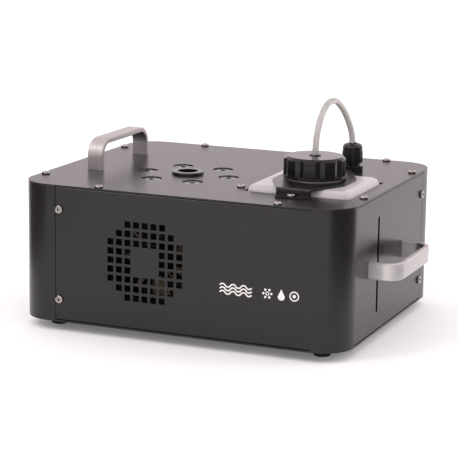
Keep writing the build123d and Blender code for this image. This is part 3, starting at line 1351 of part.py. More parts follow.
# ---------------------------------------------------------------- control board
BOARD_TOP = BOARD_Z + BOARD_T
TALL_PARTS = [  # place on the board, width, length, height
    (-14.0, 34.0, 30.0, 34.0, 26.0),
    (16.0, 22.0, 20.0, 16.0, 15.0),
    (16.0, 42.0, 20.0, 16.0, 15.0),
    (-22.0, -30.0, 12.0, 20.0, 11.0),
    (-22.0, -6.0, 12.0, 20.0, 11.0),
]
with BuildPart() as control_board:
    with BuildSketch(Plane.XY.offset(FLOOR_Z)):
        with Locations(*BOARD_POINTS):
            Circle(STANDOFF_R)
            Circle(HOLE_R, mode=Mode.SUBTRACT)
    extrude(amount=STANDOFF_H)
    with BuildSketch(Plane.XY.offset(BOARD_Z)):
        with Locations((BOARD_X, BOARD_Y)):
            Rectangle(BOARD_W, BOARD_L)
        with Locations(*BOARD_POINTS):
            Circle(HOLE_R, mode=Mode.SUBTRACT)
    extrude(amount=BOARD_T)
    for x, y, width, length, height in TALL_PARTS:
        with BuildSketch(Plane.XY.offset(BOARD_TOP)):
            with Locations((BOARD_X + x, BOARD_Y + y)):
                Rectangle(width, length)
        extrude(amount=height)
    with BuildSketch(Plane.XY.offset(BOARD_TOP)):
        circles([(BOARD_X + x, BOARD_Y - 6.0) for x in (-4.0, 10.0, 24.0)], 5.0)
    extrude(amount=18.0)
    with BuildSketch(Plane.XY.offset(BOARD_TOP)):
        with Locations((BOARD_X + 8.0, BOARD_Y - 36.0)):
            Rectangle(36.0, 3.0)
            with GridLocations(5.5, 0, 7, 1):
                Rectangle(1.5, 16.0)
    extrude(amount=28.0)
save(control_board, "control_board")

# ---------------------------------------------------------------- rear panel
# These pieces are drawn on the outside of the rear wall: x as in the case, y up, and the
# normal into the case, so a positive amount goes inwards.
inlet_at = (BODY_X + INLET_X, BASE_Z + INLET_Z)
socket_at = (inlet_at[0], inlet_at[1] + SOCKET_UP)
drawer_at = (inlet_at[0], inlet_at[1] - DRAWER_DOWN)
with BuildPart() as power_inlet:
    with BuildSketch(rear_face):
        with Locations(inlet_at):
            RectangleRounded(INLET_W + 4.0, INLET_H + 4.0, 2.0)
    extrude(amount=-PANEL_FLANGE_T)
    with BuildSketch(rear_face):
        with Locations(inlet_at):
            Rectangle(INLET_W, INLET_H)
    extrude(amount=INLET_BODY_D)
    with BuildSketch(rear_face.offset(-PANEL_FLANGE_T)):
        with Locations(socket_at):
            Rectangle(SOCKET_W, SOCKET_H)
    extrude(amount=SOCKET_D + PANEL_FLANGE_T, mode=Mode.SUBTRACT)
    with BuildSketch(rear_face.offset(-PANEL_FLANGE_T)):
        with Locations(drawer_at):
            Rectangle(DRAWER_W + 2 * DRAWER_GAP, DRAWER_H + 2 * DRAWER_GAP)
    extrude(amount=DRAWER_D + PANEL_FLANGE_T + DRAWER_GAP, mode=Mode.SUBTRACT)
save(power_inlet, "power_inlet")

with BuildPart() as fuse_drawer:
    with BuildSketch(rear_face.offset(-PANEL_FLANGE_T)):
        with Locations(drawer_at):
            Rectangle(DRAWER_W, DRAWER_H)
    extrude(amount=DRAWER_D + PANEL_FLANGE_T)
    with BuildSketch(rear_face.offset(-PANEL_FLANGE_T)):
        with Locations((drawer_at[0], drawer_at[1] + DRAWER_H / 2)):
            Rectangle(DRAWER_W / 2, 3.0)
    extrude(amount=1.5, mode=Mode.SUBTRACT)
    with BuildSketch(rear_face.offset(PANEL_FLANGE_T)):
        with Locations((drawer_at[0], drawer_at[1] + DRAWER_H / 2)):
            Rectangle(5.4, DRAWER_H)
    extrude(amount=DRAWER_D - 3.0, mode=Mode.SUBTRACT)
save(fuse_drawer, "fuse_drawer")

switch_at = (BODY_X + SWITCH_X, BASE_Z + INLET_Z)
ROCKER_POCKET_D = 8.0
with BuildPart() as power_switch:
    with BuildSketch(rear_face):
        with Locations(switch_at):
            RectangleRounded(SWITCH_W + 3.0, SWITCH_H + 3.0, 1.0)
    extrude(amount=-PANEL_FLANGE_T)
    with BuildSketch(rear_face):
        with Locations(switch_at):
            Rectangle(SWITCH_W, SWITCH_H)
    extrude(amount=SWITCH_BODY_D)
    with BuildSketch(rear_face.offset(-PANEL_FLANGE_T)):
        with Locations(switch_at):
            Rectangle(ROCKER_W + 2 * ROCKER_GAP, ROCKER_L + 4 * ROCKER_GAP)
    extrude(amount=ROCKER_POCKET_D + PANEL_FLANGE_T, mode=Mode.SUBTRACT)
save(power_switch, "power_switch")

# The rocker turns about a pin across the switch; at rest its lower end is pressed in.
ROCKER_Y = REAR + PANEL_FLANGE_T / 2
rocker_side = Plane(
    origin=(switch_at[0] - ROCKER_W / 2, ROCKER_Y, switch_at[1]), x_dir=(0, 1, 0), z_dir=(1, 0, 0)
)
reach = ROCKER_L / 2
with BuildPart() as switch_rocker:
    with BuildSketch(rocker_side):
        with BuildLine():
            Polyline((0.6, -reach), (-3.0, -reach + 1.6), (-5.5, 0), (-3.0, reach - 1.6), (0.6, reach))
            ThreePointArc((0.6, reach), (1.2, 0), (0.6, -reach))
        make_face()
    extrude(amount=ROCKER_W)
    fillet(switch_rocker.edges().filter_by(Axis.X).group_by(Axis.Y)[-1], 0.4)
with BuildPart() as switch_rocker_set:
    add(switch_rocker.part.rotate(Axis((0, ROCKER_Y, switch_at[1]), (1, 0, 0)), -ROCKER_TURN / 2))
save(switch_rocker_set, "switch_rocker")

dmx_in_at = (BODY_X + XLR_X[0], BASE_Z + XLR_Z)
dmx_out_at = (BODY_X + XLR_X[1], BASE_Z + XLR_Z)


def flange_holes(at):
    """The two screw places of one connector."""
    return [p for p in XLR_SCREWS if abs(p[0] - at[0]) < XLR_FLANGE_W / 2]


with BuildPart() as dmx_in:
    with BuildSketch(rear_face):
        with Locations(dmx_in_at):
            RectangleRounded(XLR_FLANGE_W, XLR_FLANGE_H, 2.0)
        with Locations(*flange_holes(dmx_in_at)):
            Circle(HOLE_R, mode=Mode.SUBTRACT)
    extrude(amount=-PANEL_FLANGE_T)
    with BuildSketch(rear_face):
        circles([dmx_in_at], XLR_R)
    extrude(amount=XLR_BODY_D)
    with BuildSketch(rear_face.offset(-PANEL_FLANGE_T)):
        circles([dmx_in_at], XLR_R - 2.2)
    extrude(amount=XLR_BODY_D - 3.0, mode=Mode.SUBTRACT)
save(dmx_in, "dmx_in")

with BuildPart() as contact_pins:
    with BuildSketch(rear_face.offset(SOCKET_D)):
        with Locations(*[(socket_at[0] + x, socket_at[1] - 2.0) for x in (-7.0, 7.0)]):
            Rectangle(2.0, 4.0)
        with Locations((socket_at[0], socket_at[1] + 2.0)):
            Rectangle(2.0, 4.0)
    extrude(amount=-(SOCKET_D - 3.0))
    with BuildSketch(rear_face.offset(XLR_BODY_D - 3.0 - PANEL_FLANGE_T)):
        with Locations(dmx_in_at):
            with PolarLocations(XLR_PIN_RING_R, 3, 90):
                Circle(XLR_PIN_R)
    extrude(amount=-(XLR_BODY_D - 8.0))
save(contact_pins, "contact_pins")

latch_at = (dmx_out_at[0], dmx_out_at[1] + XLR_R - LATCH_H / 2 - 0.6)
with BuildPart() as dmx_out:
    with BuildSketch(rear_face):
        with Locations(dmx_out_at):
            RectangleRounded(XLR_FLANGE_W, XLR_FLANGE_H, 2.0)
        with Locations(*flange_holes(dmx_out_at)):
            Circle(HOLE_R, mode=Mode.SUBTRACT)
    extrude(amount=-PANEL_FLANGE_T)
    with BuildSketch(rear_face):
        circles([dmx_out_at], XLR_R)
    extrude(amount=XLR_BODY_D)
    with BuildSketch(rear_face.offset(-PANEL_FLANGE_T)):
        with Locations(dmx_out_at):
            Circle(XLR_R - 2.0)
            Circle(XLR_R - 3.6, mode=Mode.SUBTRACT)
            with Locations((0, XLR_R)):
                Rectangle(LATCH_W * 2, 2 * LATCH_H + 3.0, mode=Mode.SUBTRACT)
    extrude(amount=XLR_BODY_D - 6.0, mode=Mode.SUBTRACT)
    with BuildSketch(rear_face.offset(-PANEL_FLANGE_T)):
        with Locations(dmx_out_at):
            with PolarLocations(XLR_PIN_RING_R, 3, 270):
                Circle(XLR_PIN_R + 0.3)
        with Locations(latch_at):
            Rectangle(LATCH_W + 4 * HOLE_GAP, LATCH_H + 4 * HOLE_GAP)
    extrude(amount=XLR_BODY_D - 6.0, mode=Mode.SUBTRACT)
save(dmx_out, "dmx_out")

with BuildPart() as dmx_out_latch:
    with BuildSketch(rear_face.offset(-PANEL_FLANGE_T - LATCH_TRAVEL)):
        with Locations(latch_at):
            RectangleRounded(LATCH_W, LATCH_H, 1.0)
    extrude(amount=10.0)
save(dmx_out_latch, "dmx_out_latch")

# ---------------------------------------------------------------- display and buttons
display_at = (BODY_X + DISPLAY_X, BASE_Z + DISPLAY_Z)
MENU_BOARD_IN = 9.0
with BuildPart() as display_window:
    with BuildSketch(rear_face):
        with Locations(display_at):
            RectangleRounded(DISPLAY_W - 0.4, DISPLAY_H - 0.4, 1.0)
    extrude(amount=SHEET)
    with BuildSketch(rear_face.offset(SHEET)):
        with Locations(display_at):
            Rectangle(DISPLAY_W + 6.0, DISPLAY_H + 6.0)
    extrude(amount=1.5)
save(display_window, "display_window")

MENU_LOW = BASE_Z + BUTTON_Z - 10.0
MENU_HIGH = BASE_Z + DISPLAY_Z + 14.0
BUTTON_IN = 3.2
BUTTON_ROOM = BUTTON_IN + BUTTON_TRAVEL + 4 * HOLE_GAP
with BuildPart() as menu_board:
    with BuildSketch(rear_face.offset(MENU_BOARD_IN)):
        with Locations((display_at[0], (MENU_LOW + MENU_HIGH) / 2)):
            Rectangle(BUTTONS * BUTTON_PITCH + 8.0, MENU_HIGH - MENU_LOW)
    extrude(amount=BOARD_T)
    with BuildSketch(rear_face.offset(SHEET + 1.5)):
        with Locations(display_at):
            Rectangle(DISPLAY_W + 4.0, DISPLAY_H + 4.0)
    extrude(amount=MENU_BOARD_IN - SHEET - 1.5)
    with BuildSketch(rear_face.offset(MENU_BOARD_IN)):
        with Locations(*[(x, BASE_Z + BUTTON_Z) for x in BUTTON_XS]):
            Rectangle(6.0, 6.0)
    extrude(amount=-(MENU_BOARD_IN - BUTTON_ROOM))
save(menu_board, "menu_board")

for number, x in enumerate(BUTTON_XS, start=1):
    with BuildPart() as button:
        with BuildSketch(rear_face.offset(-BUTTON_OUT)):
            circles([(x, BASE_Z + BUTTON_Z)], BUTTON_R)
        extrude(amount=BUTTON_OUT + BUTTON_IN)
        fillet(button.edges().group_by(Axis.Y)[-1], 0.6)
        with BuildSketch(rear_face.offset(SHEET + HOLE_GAP)):
            circles([(x, BASE_Z + BUTTON_Z)], BUTTON_FLANGE_R)
        extrude(amount=BUTTON_IN - SHEET - HOLE_GAP)
    save(button, f"button_{number}")
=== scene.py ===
import json
import math

import bpy
from bpy.props import FloatProperty, FloatVectorProperty, IntProperty, PointerProperty
from mathutils import Matrix, Vector


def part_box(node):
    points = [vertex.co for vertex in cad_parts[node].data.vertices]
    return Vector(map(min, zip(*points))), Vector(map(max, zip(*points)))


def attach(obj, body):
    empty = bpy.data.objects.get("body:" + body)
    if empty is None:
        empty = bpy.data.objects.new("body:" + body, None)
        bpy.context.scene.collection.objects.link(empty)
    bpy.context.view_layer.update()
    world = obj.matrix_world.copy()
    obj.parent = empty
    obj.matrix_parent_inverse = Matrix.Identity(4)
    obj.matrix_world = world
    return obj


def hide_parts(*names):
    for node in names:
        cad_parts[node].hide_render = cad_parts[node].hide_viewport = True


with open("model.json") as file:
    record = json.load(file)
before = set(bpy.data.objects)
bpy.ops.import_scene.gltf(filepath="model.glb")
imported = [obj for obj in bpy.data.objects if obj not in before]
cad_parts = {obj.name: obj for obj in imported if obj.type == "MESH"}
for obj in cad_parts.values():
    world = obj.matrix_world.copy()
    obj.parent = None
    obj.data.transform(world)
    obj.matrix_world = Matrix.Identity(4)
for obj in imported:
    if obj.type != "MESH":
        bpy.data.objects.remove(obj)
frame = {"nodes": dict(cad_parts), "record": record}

bl_info = {
    "name": "Fog Machine Looks",
    "version": (1, 0, 0),
    "blender": (4, 5, 0),
    "location": "View3D > Sidebar > Fog Machine",
    "description": "Finishes, fluid tube, printed marks and studio of an upright fog machine",
    "category": "Object",
}

MM = 0.001


# ---------------------------------------------------------------- colour and nodes
def linear(code):
    """Turns an sRGB hex code, such as 8A8A8C, into a linear colour with alpha."""
    parts = [int(code[n : n + 2], 16) / 255 for n in (0, 2, 4)]
    return [c / 12.92 if c <= 0.04045 else ((c + 0.055) / 1.055) ** 2.4 for c in parts] + [1.0]


def add_node(tree, kind, settings=None, inputs=None):
    """Adds one node. settings are its own options, inputs the values or links of its sockets."""
    node = tree.nodes.new(kind)
    for name, value in (settings or {}).items():
        setattr(node, name, value)
    for name, value in (inputs or {}).items():
        if isinstance(value, bpy.types.NodeSocket):
            tree.links.new(value, node.inputs[name])
        else:
            node.inputs[name].default_value = value
    return node


def per_metre(size_mm):
    """The scale of a pattern whose repeat is size_mm on the real thing."""
    return 1.0 / (size_mm * MM)


def make_finish(
    name,
    tones,
    roughness,
    mottle_mm,
    grain_mm,
    grain_depth_mm,
    stretch=(1.0, 1.0, 1.0),
    soft_edge_mm=0.0,
    dimple_mm=0.0,
    shade_hollow_mm=0.0,
    metal=False,
    **shader_values,
):
    """One finish: two tones that drift over mottle_mm, a grain of grain_mm that stands
    grain_depth_mm high, and a roughness that wanders between two values. stretch draws
    the grain out into brush lines, dimple_mm adds the cells of a baked powder,
    soft_edge_mm rounds the light on sharp sheet edges, and shade_hollow_mm paints shade
    into hollows and corners that are about that wide, mixing the colour towards near black.
    corners that are about that wide."""
    material = bpy.data.materials.new(name)
    material.use_nodes = True
    tree = material.node_tree
    shader = tree.nodes["Principled BSDF"]
    where = add_node(tree, "ShaderNodeTexCoord").outputs["Object"]
    drawn = add_node(
        tree, "ShaderNodeMapping", inputs={"Vector": where, "Scale": stretch}
    ).outputs["Vector"]
    drift = add_node(
        tree,
        "ShaderNodeTexNoise",
        inputs={"Vector": drawn, "Scale": per_metre(mottle_mm), "Detail": 3.0},
    )
    colours = add_node(
        tree,
        "ShaderNodeMix",
        {"data_type": "RGBA"},
        {"Factor": drift.outputs["Fac"], 6: linear(tones[0]), 7: linear(tones[1])},
    )
    colour = colours.outputs[2]
    # Painted shade: where ambient occlusion finds a hollow or corner about this wide, the colour
    # is mixed towards near black.
    if shade_hollow_mm:
        openness = add_node(
            tree, "ShaderNodeAmbientOcclusion", {"samples": 8}, {"Distance": shade_hollow_mm * MM}
        )
        hollow_shade = add_node(
            tree,
            "ShaderNodeMapRange",
            inputs={"Value": openness.outputs["AO"], "From Min": 0.40, "From Max": 0.95},
        )
        colour = add_node(
            tree,
            "ShaderNodeMix",
            {"data_type": "RGBA"},
            {"Factor": hollow_shade.outputs["Result"], 6: linear("0A0909"), 7: colour},
        ).outputs[2]
    tree.links.new(colour, shader.inputs["Base Color"])
    grain = add_node(
        tree,
        "ShaderNodeTexNoise",
        inputs={"Vector": drawn, "Scale": per_metre(grain_mm), "Detail": 2.0},
    )
    gloss = add_node(
        tree,
        "ShaderNodeMapRange",
        inputs={"Value": grain.outputs["Fac"], "To Min": roughness[0], "To Max": roughness[1]},
    )
    tree.links.new(gloss.outputs["Result"], shader.inputs["Roughness"])
    height = grain.outputs["Fac"]
    if dimple_mm:
        cells = add_node(
            tree,
            "ShaderNodeTexVoronoi",
            {"feature": "SMOOTH_F1"},
            {"Vector": where, "Scale": per_metre(dimple_mm), "Smoothness": 0.8},
        )
        height = add_node(
            tree,
            "ShaderNodeMath",
            {"operation": "ADD"},
            {0: grain.outputs["Fac"], 1: cells.outputs["Distance"]},
        ).outputs["Value"]
    bump = add_node(
        tree,
        "ShaderNodeBump",
        inputs={"Height": height, "Strength": 1.0, "Distance": grain_depth_mm * MM},
    )
    if soft_edge_mm:
        edge = add_node(
            tree, "ShaderNodeBevel", {"samples": 6}, {"Radius": soft_edge_mm * MM}
        )
        tree.links.new(edge.outputs["Normal"], bump.inputs["Normal"])
    tree.links.new(bump.outputs["Normal"], shader.inputs["Normal"])
    if metal:
        shader.inputs["Metallic"].default_value = 1.0
    for key, value in shader_values.items():
        shader.inputs[key.replace("_", " ")].default_value = value
    return material


def make_finishes(colours):
    """Every finish of the machine, by the record's slot names."""
    made = {}
    # Polyester powder on steel: near black, satin, its flow marks read as a fine orange
    # peel of about 1 mm, and it mirrors a bright room strongly at a low angle.
    made["black_powder_coat"] = make_finish(
        "satin_black_powder_coat", colours["powder"], (0.22, 0.34), 60.0, 0.9, 0.010,
        soft_edge_mm=0.5, dimple_mm=1.6, IOR=1.46,
    )
    # Anodised aluminium bar, brushed along its length before the bath: long fine lines.
    # Real lines are 0.05 mm apart; they are drawn at 0.9 mm so that they show. The top
    # handle's lines run along Y and Z, the side handle's along X and Y. The side handle's
    # lighter tones are painted light: the same aluminium, drawn brighter where light falls on it.
    for key, tones, stretch in (
        ("brushed_aluminium", colours["aluminium"], (1.0, 0.03, 0.03)),
        ("brushed_aluminium_side_painted_light", ("C6C4C3", "DAD8D7"), (0.03, 0.03, 1.0)),
    ):
        made[key] = make_finish(
            "anodised_" + key, tones, (0.40, 0.58), 2.5, 0.9, 0.006,
            stretch=stretch, soft_edge_mm=0.4, metal=True,
        )
    # Nickel on cold headed steel: grey and shiny, with a faint draw mark. Its cross recesses and
    # the feet of its heads get painted shade.
    made["steel_screws"] = make_finish(
        "nickel_plated_steel", ("8D8785", "B5B0AD"), (0.06, 0.14), 3.0, 0.4, 0.003,
        soft_edge_mm=0.15, shade_hollow_mm=2.4, metal=True,
    )
    # Zinc with a clear blue passivate: grey, cloudy, a little rougher than nickel.
    made["zinc_steel"] = make_finish(
        "zinc_plated_steel", ("A9ADB2", "C3C5C8"), (0.28, 0.46), 9.0, 0.8, 0.006,
        soft_edge_mm=0.2, metal=True,
    )
    # Moulded nitrile rubber: dull, fine matt mould face that picks up dust.
    made["black_rubber"] = make_finish(
        "moulded_nitrile_rubber", ("121212", "1F1F1E"), (0.72, 0.86), 6.0, 0.5, 0.020, IOR=1.48,
    )
    # Blow moulded natural polyethylene: milky, waxy, light soaks in a few millimetres.
    made["tank_hdpe"] = make_finish(
        "blow_moulded_polyethylene", colours["tank"], (0.24, 0.36), 25.0, 1.2, 0.003,
        soft_edge_mm=0.6, IOR=1.51, Subsurface_Weight=0.30, Subsurface_Scale=0.005,
        Subsurface_Radius=(1.0, 0.9, 0.85),
    )
    # Injection moulded nylon: black with a spark eroded face of about 0.3 mm.
    made["black_nylon"] = make_finish(
        "moulded_black_nylon", ("0A0A0A", "121111"), (0.26, 0.40), 12.0, 0.35, 0.008,
        soft_edge_mm=0.3, IOR=1.47,
    )
    # Polypropylene from a polished mould, as screw caps are: black and shinier than nylon.
    made["black_polypropylene"] = make_finish(
        "moulded_black_polypropylene", ("070606", "0C0B0B"), (0.12, 0.22), 14.0, 0.8, 0.006,
        soft_edge_mm=0.35, IOR=1.43,
    )
    # Fan moulding: glass filled polyester, black and matt, dulled further by dust.
    made["fan_polyester"] = make_finish(
        "matt_black_fan_polyester", ("050505", "0B0B0B"), (0.60, 0.78), 9.0, 0.5, 0.010,
        soft_edge_mm=0.3, IOR=1.32,
    )
    # Painted shade: a near black, glossless disc in the middle of each lens stands for the shade
    # seen through the lens's hollow.
    made["painted_lens_shade"] = make_finish(
        "painted_lens_shade", ("040404", "090909"), (0.95, 1.0), 3.0, 0.4, 0.020, IOR=1.05,
    )
    # Polished phenolic and acrylic buttons: black, glossy, slight sink marks.
    made["black_gloss"] = make_finish(
        "polished_black_phenolic", ("0B0B0B", "131313"), (0.16, 0.24), 8.0, 1.5, 0.004,
        soft_edge_mm=0.3, IOR=1.58,
    )
    # Polyurethane tube: milky clear, smooth outside, faint extrusion lines along it.
    made["clear_tube"] = make_finish(
        "translucent_polyurethane_tube", colours["tube"], (0.10, 0.20), 14.0, 0.6, 0.006,
        IOR=1.5, Subsurface_Weight=0.4, Subsurface_Scale=0.003, Transmission_Weight=0.45,
    )
    # Optical acrylic: clear, polished, hardly any grain.
    made["clear_acrylic"] = make_finish(
        "optical_acrylic", ("E9EDF0", "F4F6F8"), (0.04, 0.10), 8.0, 1.0, 0.002,
        IOR=1.49, Transmission_Weight=0.97,
    )
    # Glass fibre board under green solder mask: glossy, weave of about 1 mm shows.
    made["board_green"] = make_finish(
        "green_solder_mask", ("0B4A29", "116238"), (0.25, 0.38), 5.0, 1.0, 0.010,
        stretch=(1.0, 1.0, 0.2), IOR=1.55,
    )
    # Aluminium cored board under matt black mask, as lamp boards have.
    made["board_black"] = make_finish(
        "black_solder_mask", ("0A0A0B", "121213"), (0.50, 0.62), 5.0, 1.0, 0.006, IOR=1.5,
    )
    # Gravity cast aluminium: grey, sandy skin of about 0.8 mm.
    made["cast_aluminium"] = make_finish(
        "cast_aluminium_skin", ("8E8F91", "A6A7A8"), (0.45, 0.62), 7.0, 0.8, 0.040,
        soft_edge_mm=0.4, metal=True,
    )
    # Needled mineral wool: cream felt, loose fibres a few millimetres long.
    made["mineral_wool"] = make_finish(
        "needled_mineral_wool", ("C4B895", "DDD3B6"), (0.85, 0.97), 6.0, 1.4, 0.350,
        stretch=(1.0, 0.4, 1.0), IOR=1.45, Sheen_Weight=0.3,
    )
    # Turned brass: yellow, fine lathe rings.
    made["brass_fittings"] = make_finish(
        "turned_brass", ("B8924C", "CDA75E"), (0.20, 0.34), 6.0, 0.5, 0.004,
        stretch=(1.0, 1.0, 6.0), soft_edge_mm=0.15, metal=True,
    )
    # Smoked polycarbonate over a dark display.
    made["display_tint"] = make_finish(
        "smoked_polycarbonate", ("0A0C0E", "10141A"), (0.06, 0.12), 18.0, 1.2, 0.002, IOR=1.58,
    )
    # Moulded red nylon rocker: semi gloss.
    made["rocker_red"] = make_finish(
        "moulded_red_nylon", ("7E100B", "96180F"), (0.22, 0.34), 6.0, 0.5, 0.004,
        soft_edge_mm=0.3, IOR=1.53,
    )
    # Screen printed epoxy ink: chalky white, slightly uneven film.
    made["white_ink"] = make_finish(
        "screen_printed_white_ink", ("DEDCDA", "F0EFED"), (0.42, 0.58), 4.0, 0.4, 0.004, IOR=1.5,
    )
    return made


# ---------------------------------------------------------------- modelling by hand
def start_clean():
    """Leaves nothing selected, so that an operator acts on its own piece alone."""
    if bpy.context.mode != "OBJECT":
        bpy.ops.object.mode_set(mode="OBJECT")
    bpy.ops.object.select_all(action="DESELECT")


def just_added(name):
    """Names the object that a primitive operator has just made."""
    piece = bpy.context.active_object
    piece.name = name
    piece.data.name = name
    return piece


def settle(piece):
    """Puts a piece's place into its mesh and leaves its object at the origin."""
    start_clean()
    bpy.context.view_layer.objects.active = piece
    piece.select_set(True)
    bpy.ops.object.transform_apply(location=True, rotation=True, scale=True)
    piece.select_set(False)


def with_modifier(piece, kind, **settings):
    """Adds a modifier with its settings and applies it."""
    start_clean()
    bpy.context.view_layer.objects.active = piece
    piece.select_set(True)
    modifier = piece.modifiers.new(kind.title(), kind)
    for name, value in settings.items():
        setattr(modifier, name, value)
    bpy.ops.object.modifier_apply(modifier=modifier.name)


def joined(pieces, name):
    """Joins finished pieces into one mesh."""
    start_clean()
    for piece in pieces:
        piece.select_set(True)
    bpy.context.view_layer.objects.active = pieces[0]
    bpy.ops.object.join()
    return just_added(name)


def copied_round(piece, centre, angles, name):
    """Copies a piece round a vertical axis, each copy with its own mesh, and joins them."""
    copies = []
    for angle in angles:
        copy = piece.copy()
        copy.data = piece.data.copy()
        bpy.context.collection.objects.link(copy)
        turn = Matrix.Translation(centre) @ Matrix.Rotation(angle, 4, "Z")
        copy.data.transform(turn @ Matrix.Translation(-centre))
        copies.append(copy)
    bpy.data.objects.remove(piece)
    return joined(copies, name)


def block(size, place, edge, steps=2):
    """A small moulded bar: a cube cut to size and its edges rounded in edit mode."""
    start_clean()
    bpy.ops.mesh.primitive_cube_add(size=1.0, location=place)
    piece = bpy.context.active_object
    piece.scale = size
    settle(piece)
    bpy.context.view_layer.objects.active = piece
    piece.select_set(True)
    bpy.ops.object.mode_set(mode="EDIT")
    bpy.ops.mesh.select_all(action="SELECT")
    bpy.ops.mesh.bevel(offset=edge, segments=steps, affect="EDGES")
    bpy.ops.object.mode_set(mode="OBJECT")
    return piece


def ink_disc(radius, place, facing, sides=40, hole=0.0, turn=0.0, tip=0.0):
    """A flat printed disc, ring or triangle. facing is -1 on the front wall, 1 on the rear,
    and a tip above 0 draws the upper half out into the point of a drop."""
    start_clean()
    bpy.ops.mesh.primitive_circle_add(
        vertices=sides, radius=radius, fill_type="NGON", location=(0, 0, 0)
    )
    piece = bpy.context.active_object
    if hole:
        bpy.ops.object.mode_set(mode="EDIT")
        bpy.ops.mesh.inset(thickness=radius - hole, depth=0)
        bpy.ops.mesh.delete(type="FACE")
        bpy.ops.object.mode_set(mode="OBJECT")
    piece.data.transform(Matrix.Rotation(turn, 4, "Z"))
    for vertex in piece.data.vertices:
        lift = max(0.0, vertex.co.y) * tip
        vertex.co.x *= 1 - 0.8 * lift / radius
        vertex.co.y += lift
    lay_print(piece, place, facing)
    return piece


def lay_print(piece, place, facing):
    """Stands a flat print that was drawn in X and Y up on a wall, and gives it its film."""
    upright = Matrix.Rotation(math.radians(90), 4, "X")
    if facing > 0:
        upright = Matrix.Rotation(math.pi, 4, "Z") @ upright
    piece.data.transform(Matrix.Translation(place) @ upright)
    with_modifier(piece, "SOLIDIFY", thickness=INK_FILM, offset=1.0)


def ink_wave(radius, width, arcs, place, facing):
    """A printed wavy line: an edge spun to and fro about centres below and above it."""
    half = math.radians(60.0)
    pitch = 2 * radius * math.sin(half)
    drop = radius * math.cos(half)
    start_x = -pitch * arcs / 2
    out = Vector((-math.sin(half), math.cos(half), 0))
    first = Vector((start_x + pitch / 2, -drop, 0))
    near, far = (first + out * (radius + side * width / 2) for side in (-1, 1))
    start_clean()
    bpy.ops.mesh.primitive_circle_add(vertices=3, radius=width, location=(0, 0, 0))
    piece = bpy.context.active_object
    mesh = piece.data
    mesh.vertices[0].co, mesh.vertices[1].co = near, far
    for vertex in mesh.vertices:
        vertex.select = vertex.index == 2
    for edge in mesh.edges:
        edge.select = False
    bpy.ops.object.mode_set(mode="EDIT")
    bpy.ops.mesh.select_mode(type="VERT")
    bpy.ops.mesh.delete(type="VERT")
    bpy.ops.mesh.select_all(action="SELECT")
    for arc in range(arcs):
        side = 1 if arc % 2 == 0 else -1
        bpy.ops.mesh.spin(
            steps=12,
            angle=2 * half,
            center=(first.x + arc * pitch, -drop * side, 0),
            axis=(0, 0, side),
        )
    bpy.ops.mesh.select_all(action="SELECT")
    bpy.ops.mesh.remove_doubles(threshold=0.01 * MM)
    bpy.ops.mesh.normals_make_consistent(inside=False)
    bpy.ops.object.mode_set(mode="OBJECT")
    if mesh.polygons[0].normal.z < 0:
        mesh.flip_normals()
    lay_print(piece, place, facing)
    return piece


def finish_piece(piece, material, body):
    """Gives a new piece its finish and the body that it moves with."""
    start_clean()
    bpy.context.view_layer.objects.active = piece
    piece.select_set(True)
    bpy.ops.object.shade_smooth_by_angle(angle=math.radians(35))
    piece.data.materials.clear()
    piece.data.materials.append(material)
    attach(piece, body)


INK_FILM = 0.06 * MM

# ---------------------------------------------------------------- studio
CAMERA_AT = (0.6797, -1.6692, 0.4710)
LAMPS = (  # name, place, size in metres, power in watts
    ("key_light", (-1.2, -1.6, 2.0), 0.6, 10.0),
    ("side_light", (2.2, 0.9, 1.2), 0.8, 8.0),
)
LAMPS_AIM = Vector((0, 0, 0.08))
SCREENS = (  # name, place along X, near and far end along Y
    ("left_screen", -0.42, -0.60, 0.00),
    ("right_screen", 0.42, -0.45, 0.27),
)
SCREEN_H = 0.30

# ---------------------------------------------------------------- sizes of small pieces
RIB_DEPTH = 1.2 * MM
RIB_INSET = 1.15 * MM  # from the cap's full radius to the middle of a rib
CAP_FLUTES = 9
FIRST_LAND = 40.0  # degrees from +X to the middle of a land
LAND_RIB_STEP = 4.2  # degrees between two ribs of a land
CLAW_R = 3.75 * MM  # from the gland's axis to the middle of a finger
GRIP_H = 10.5 * MM
GRIPS = 18  # bars round the gland's nut
LIGHTS = 6
LIGHT_RING_R = 43.0 * MM  # from the nozzle's axis to the middle of a lens
HOLLOW_R = 2.6 * MM
HOLLOW_T = 0.5 * MM

# ---------------------------------------------------------------- printed pictures
PRINT_Z = 60.0 * MM  # middle of the row of pictures on the front
WAVES_X = 46.0 * MM
WAVE_STEP = 3.3 * MM
LAMP_X = 77.0 * MM
LAMP_RAY_R = 3.9 * MM
DROP_X = 90.5 * MM
DIAL_X = 103.0 * MM
BUTTON_SIGN_DOWN = 4.5 * MM
BUTTON_SIGN_R = 1.8 * MM
SOCKET_SIGN_UP = 5.0 * MM
SOCKET_SIGN_R = 2.4 * MM
BUTTON_SIGNS = {  # sides, turn in degrees, radius of the hole
    "button_4": (3, 90.0, 0.0),
    "button_3": (3, -90.0, 0.0),
    "button_2": (40, 0.0, 1.0 * MM),
    "button_1": (4, 45.0, 0.0),
}
SOCKET_SIGNS = {"dmx_in": -90.0, "dmx_out": 90.0}  # turn in degrees

# ---------------------------------------------------------------- places from the frame
cap_low, cap_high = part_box("tank_cap")
nut_low, nut_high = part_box("gland_nut")
front_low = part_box("front_cover")[0]
rear_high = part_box("rear_cover")[1]
CAP_CENTRE = Vector(((cap_low[0] + cap_high[0]) / 2, (cap_low[1] + cap_high[1]) / 2, 0))
NUT_CENTRE = Vector(((nut_low[0] + nut_high[0]) / 2, (nut_low[1] + nut_high[1]) / 2, 0))
CAP_RADIUS = (cap_high[0] - cap_low[0]) / 2

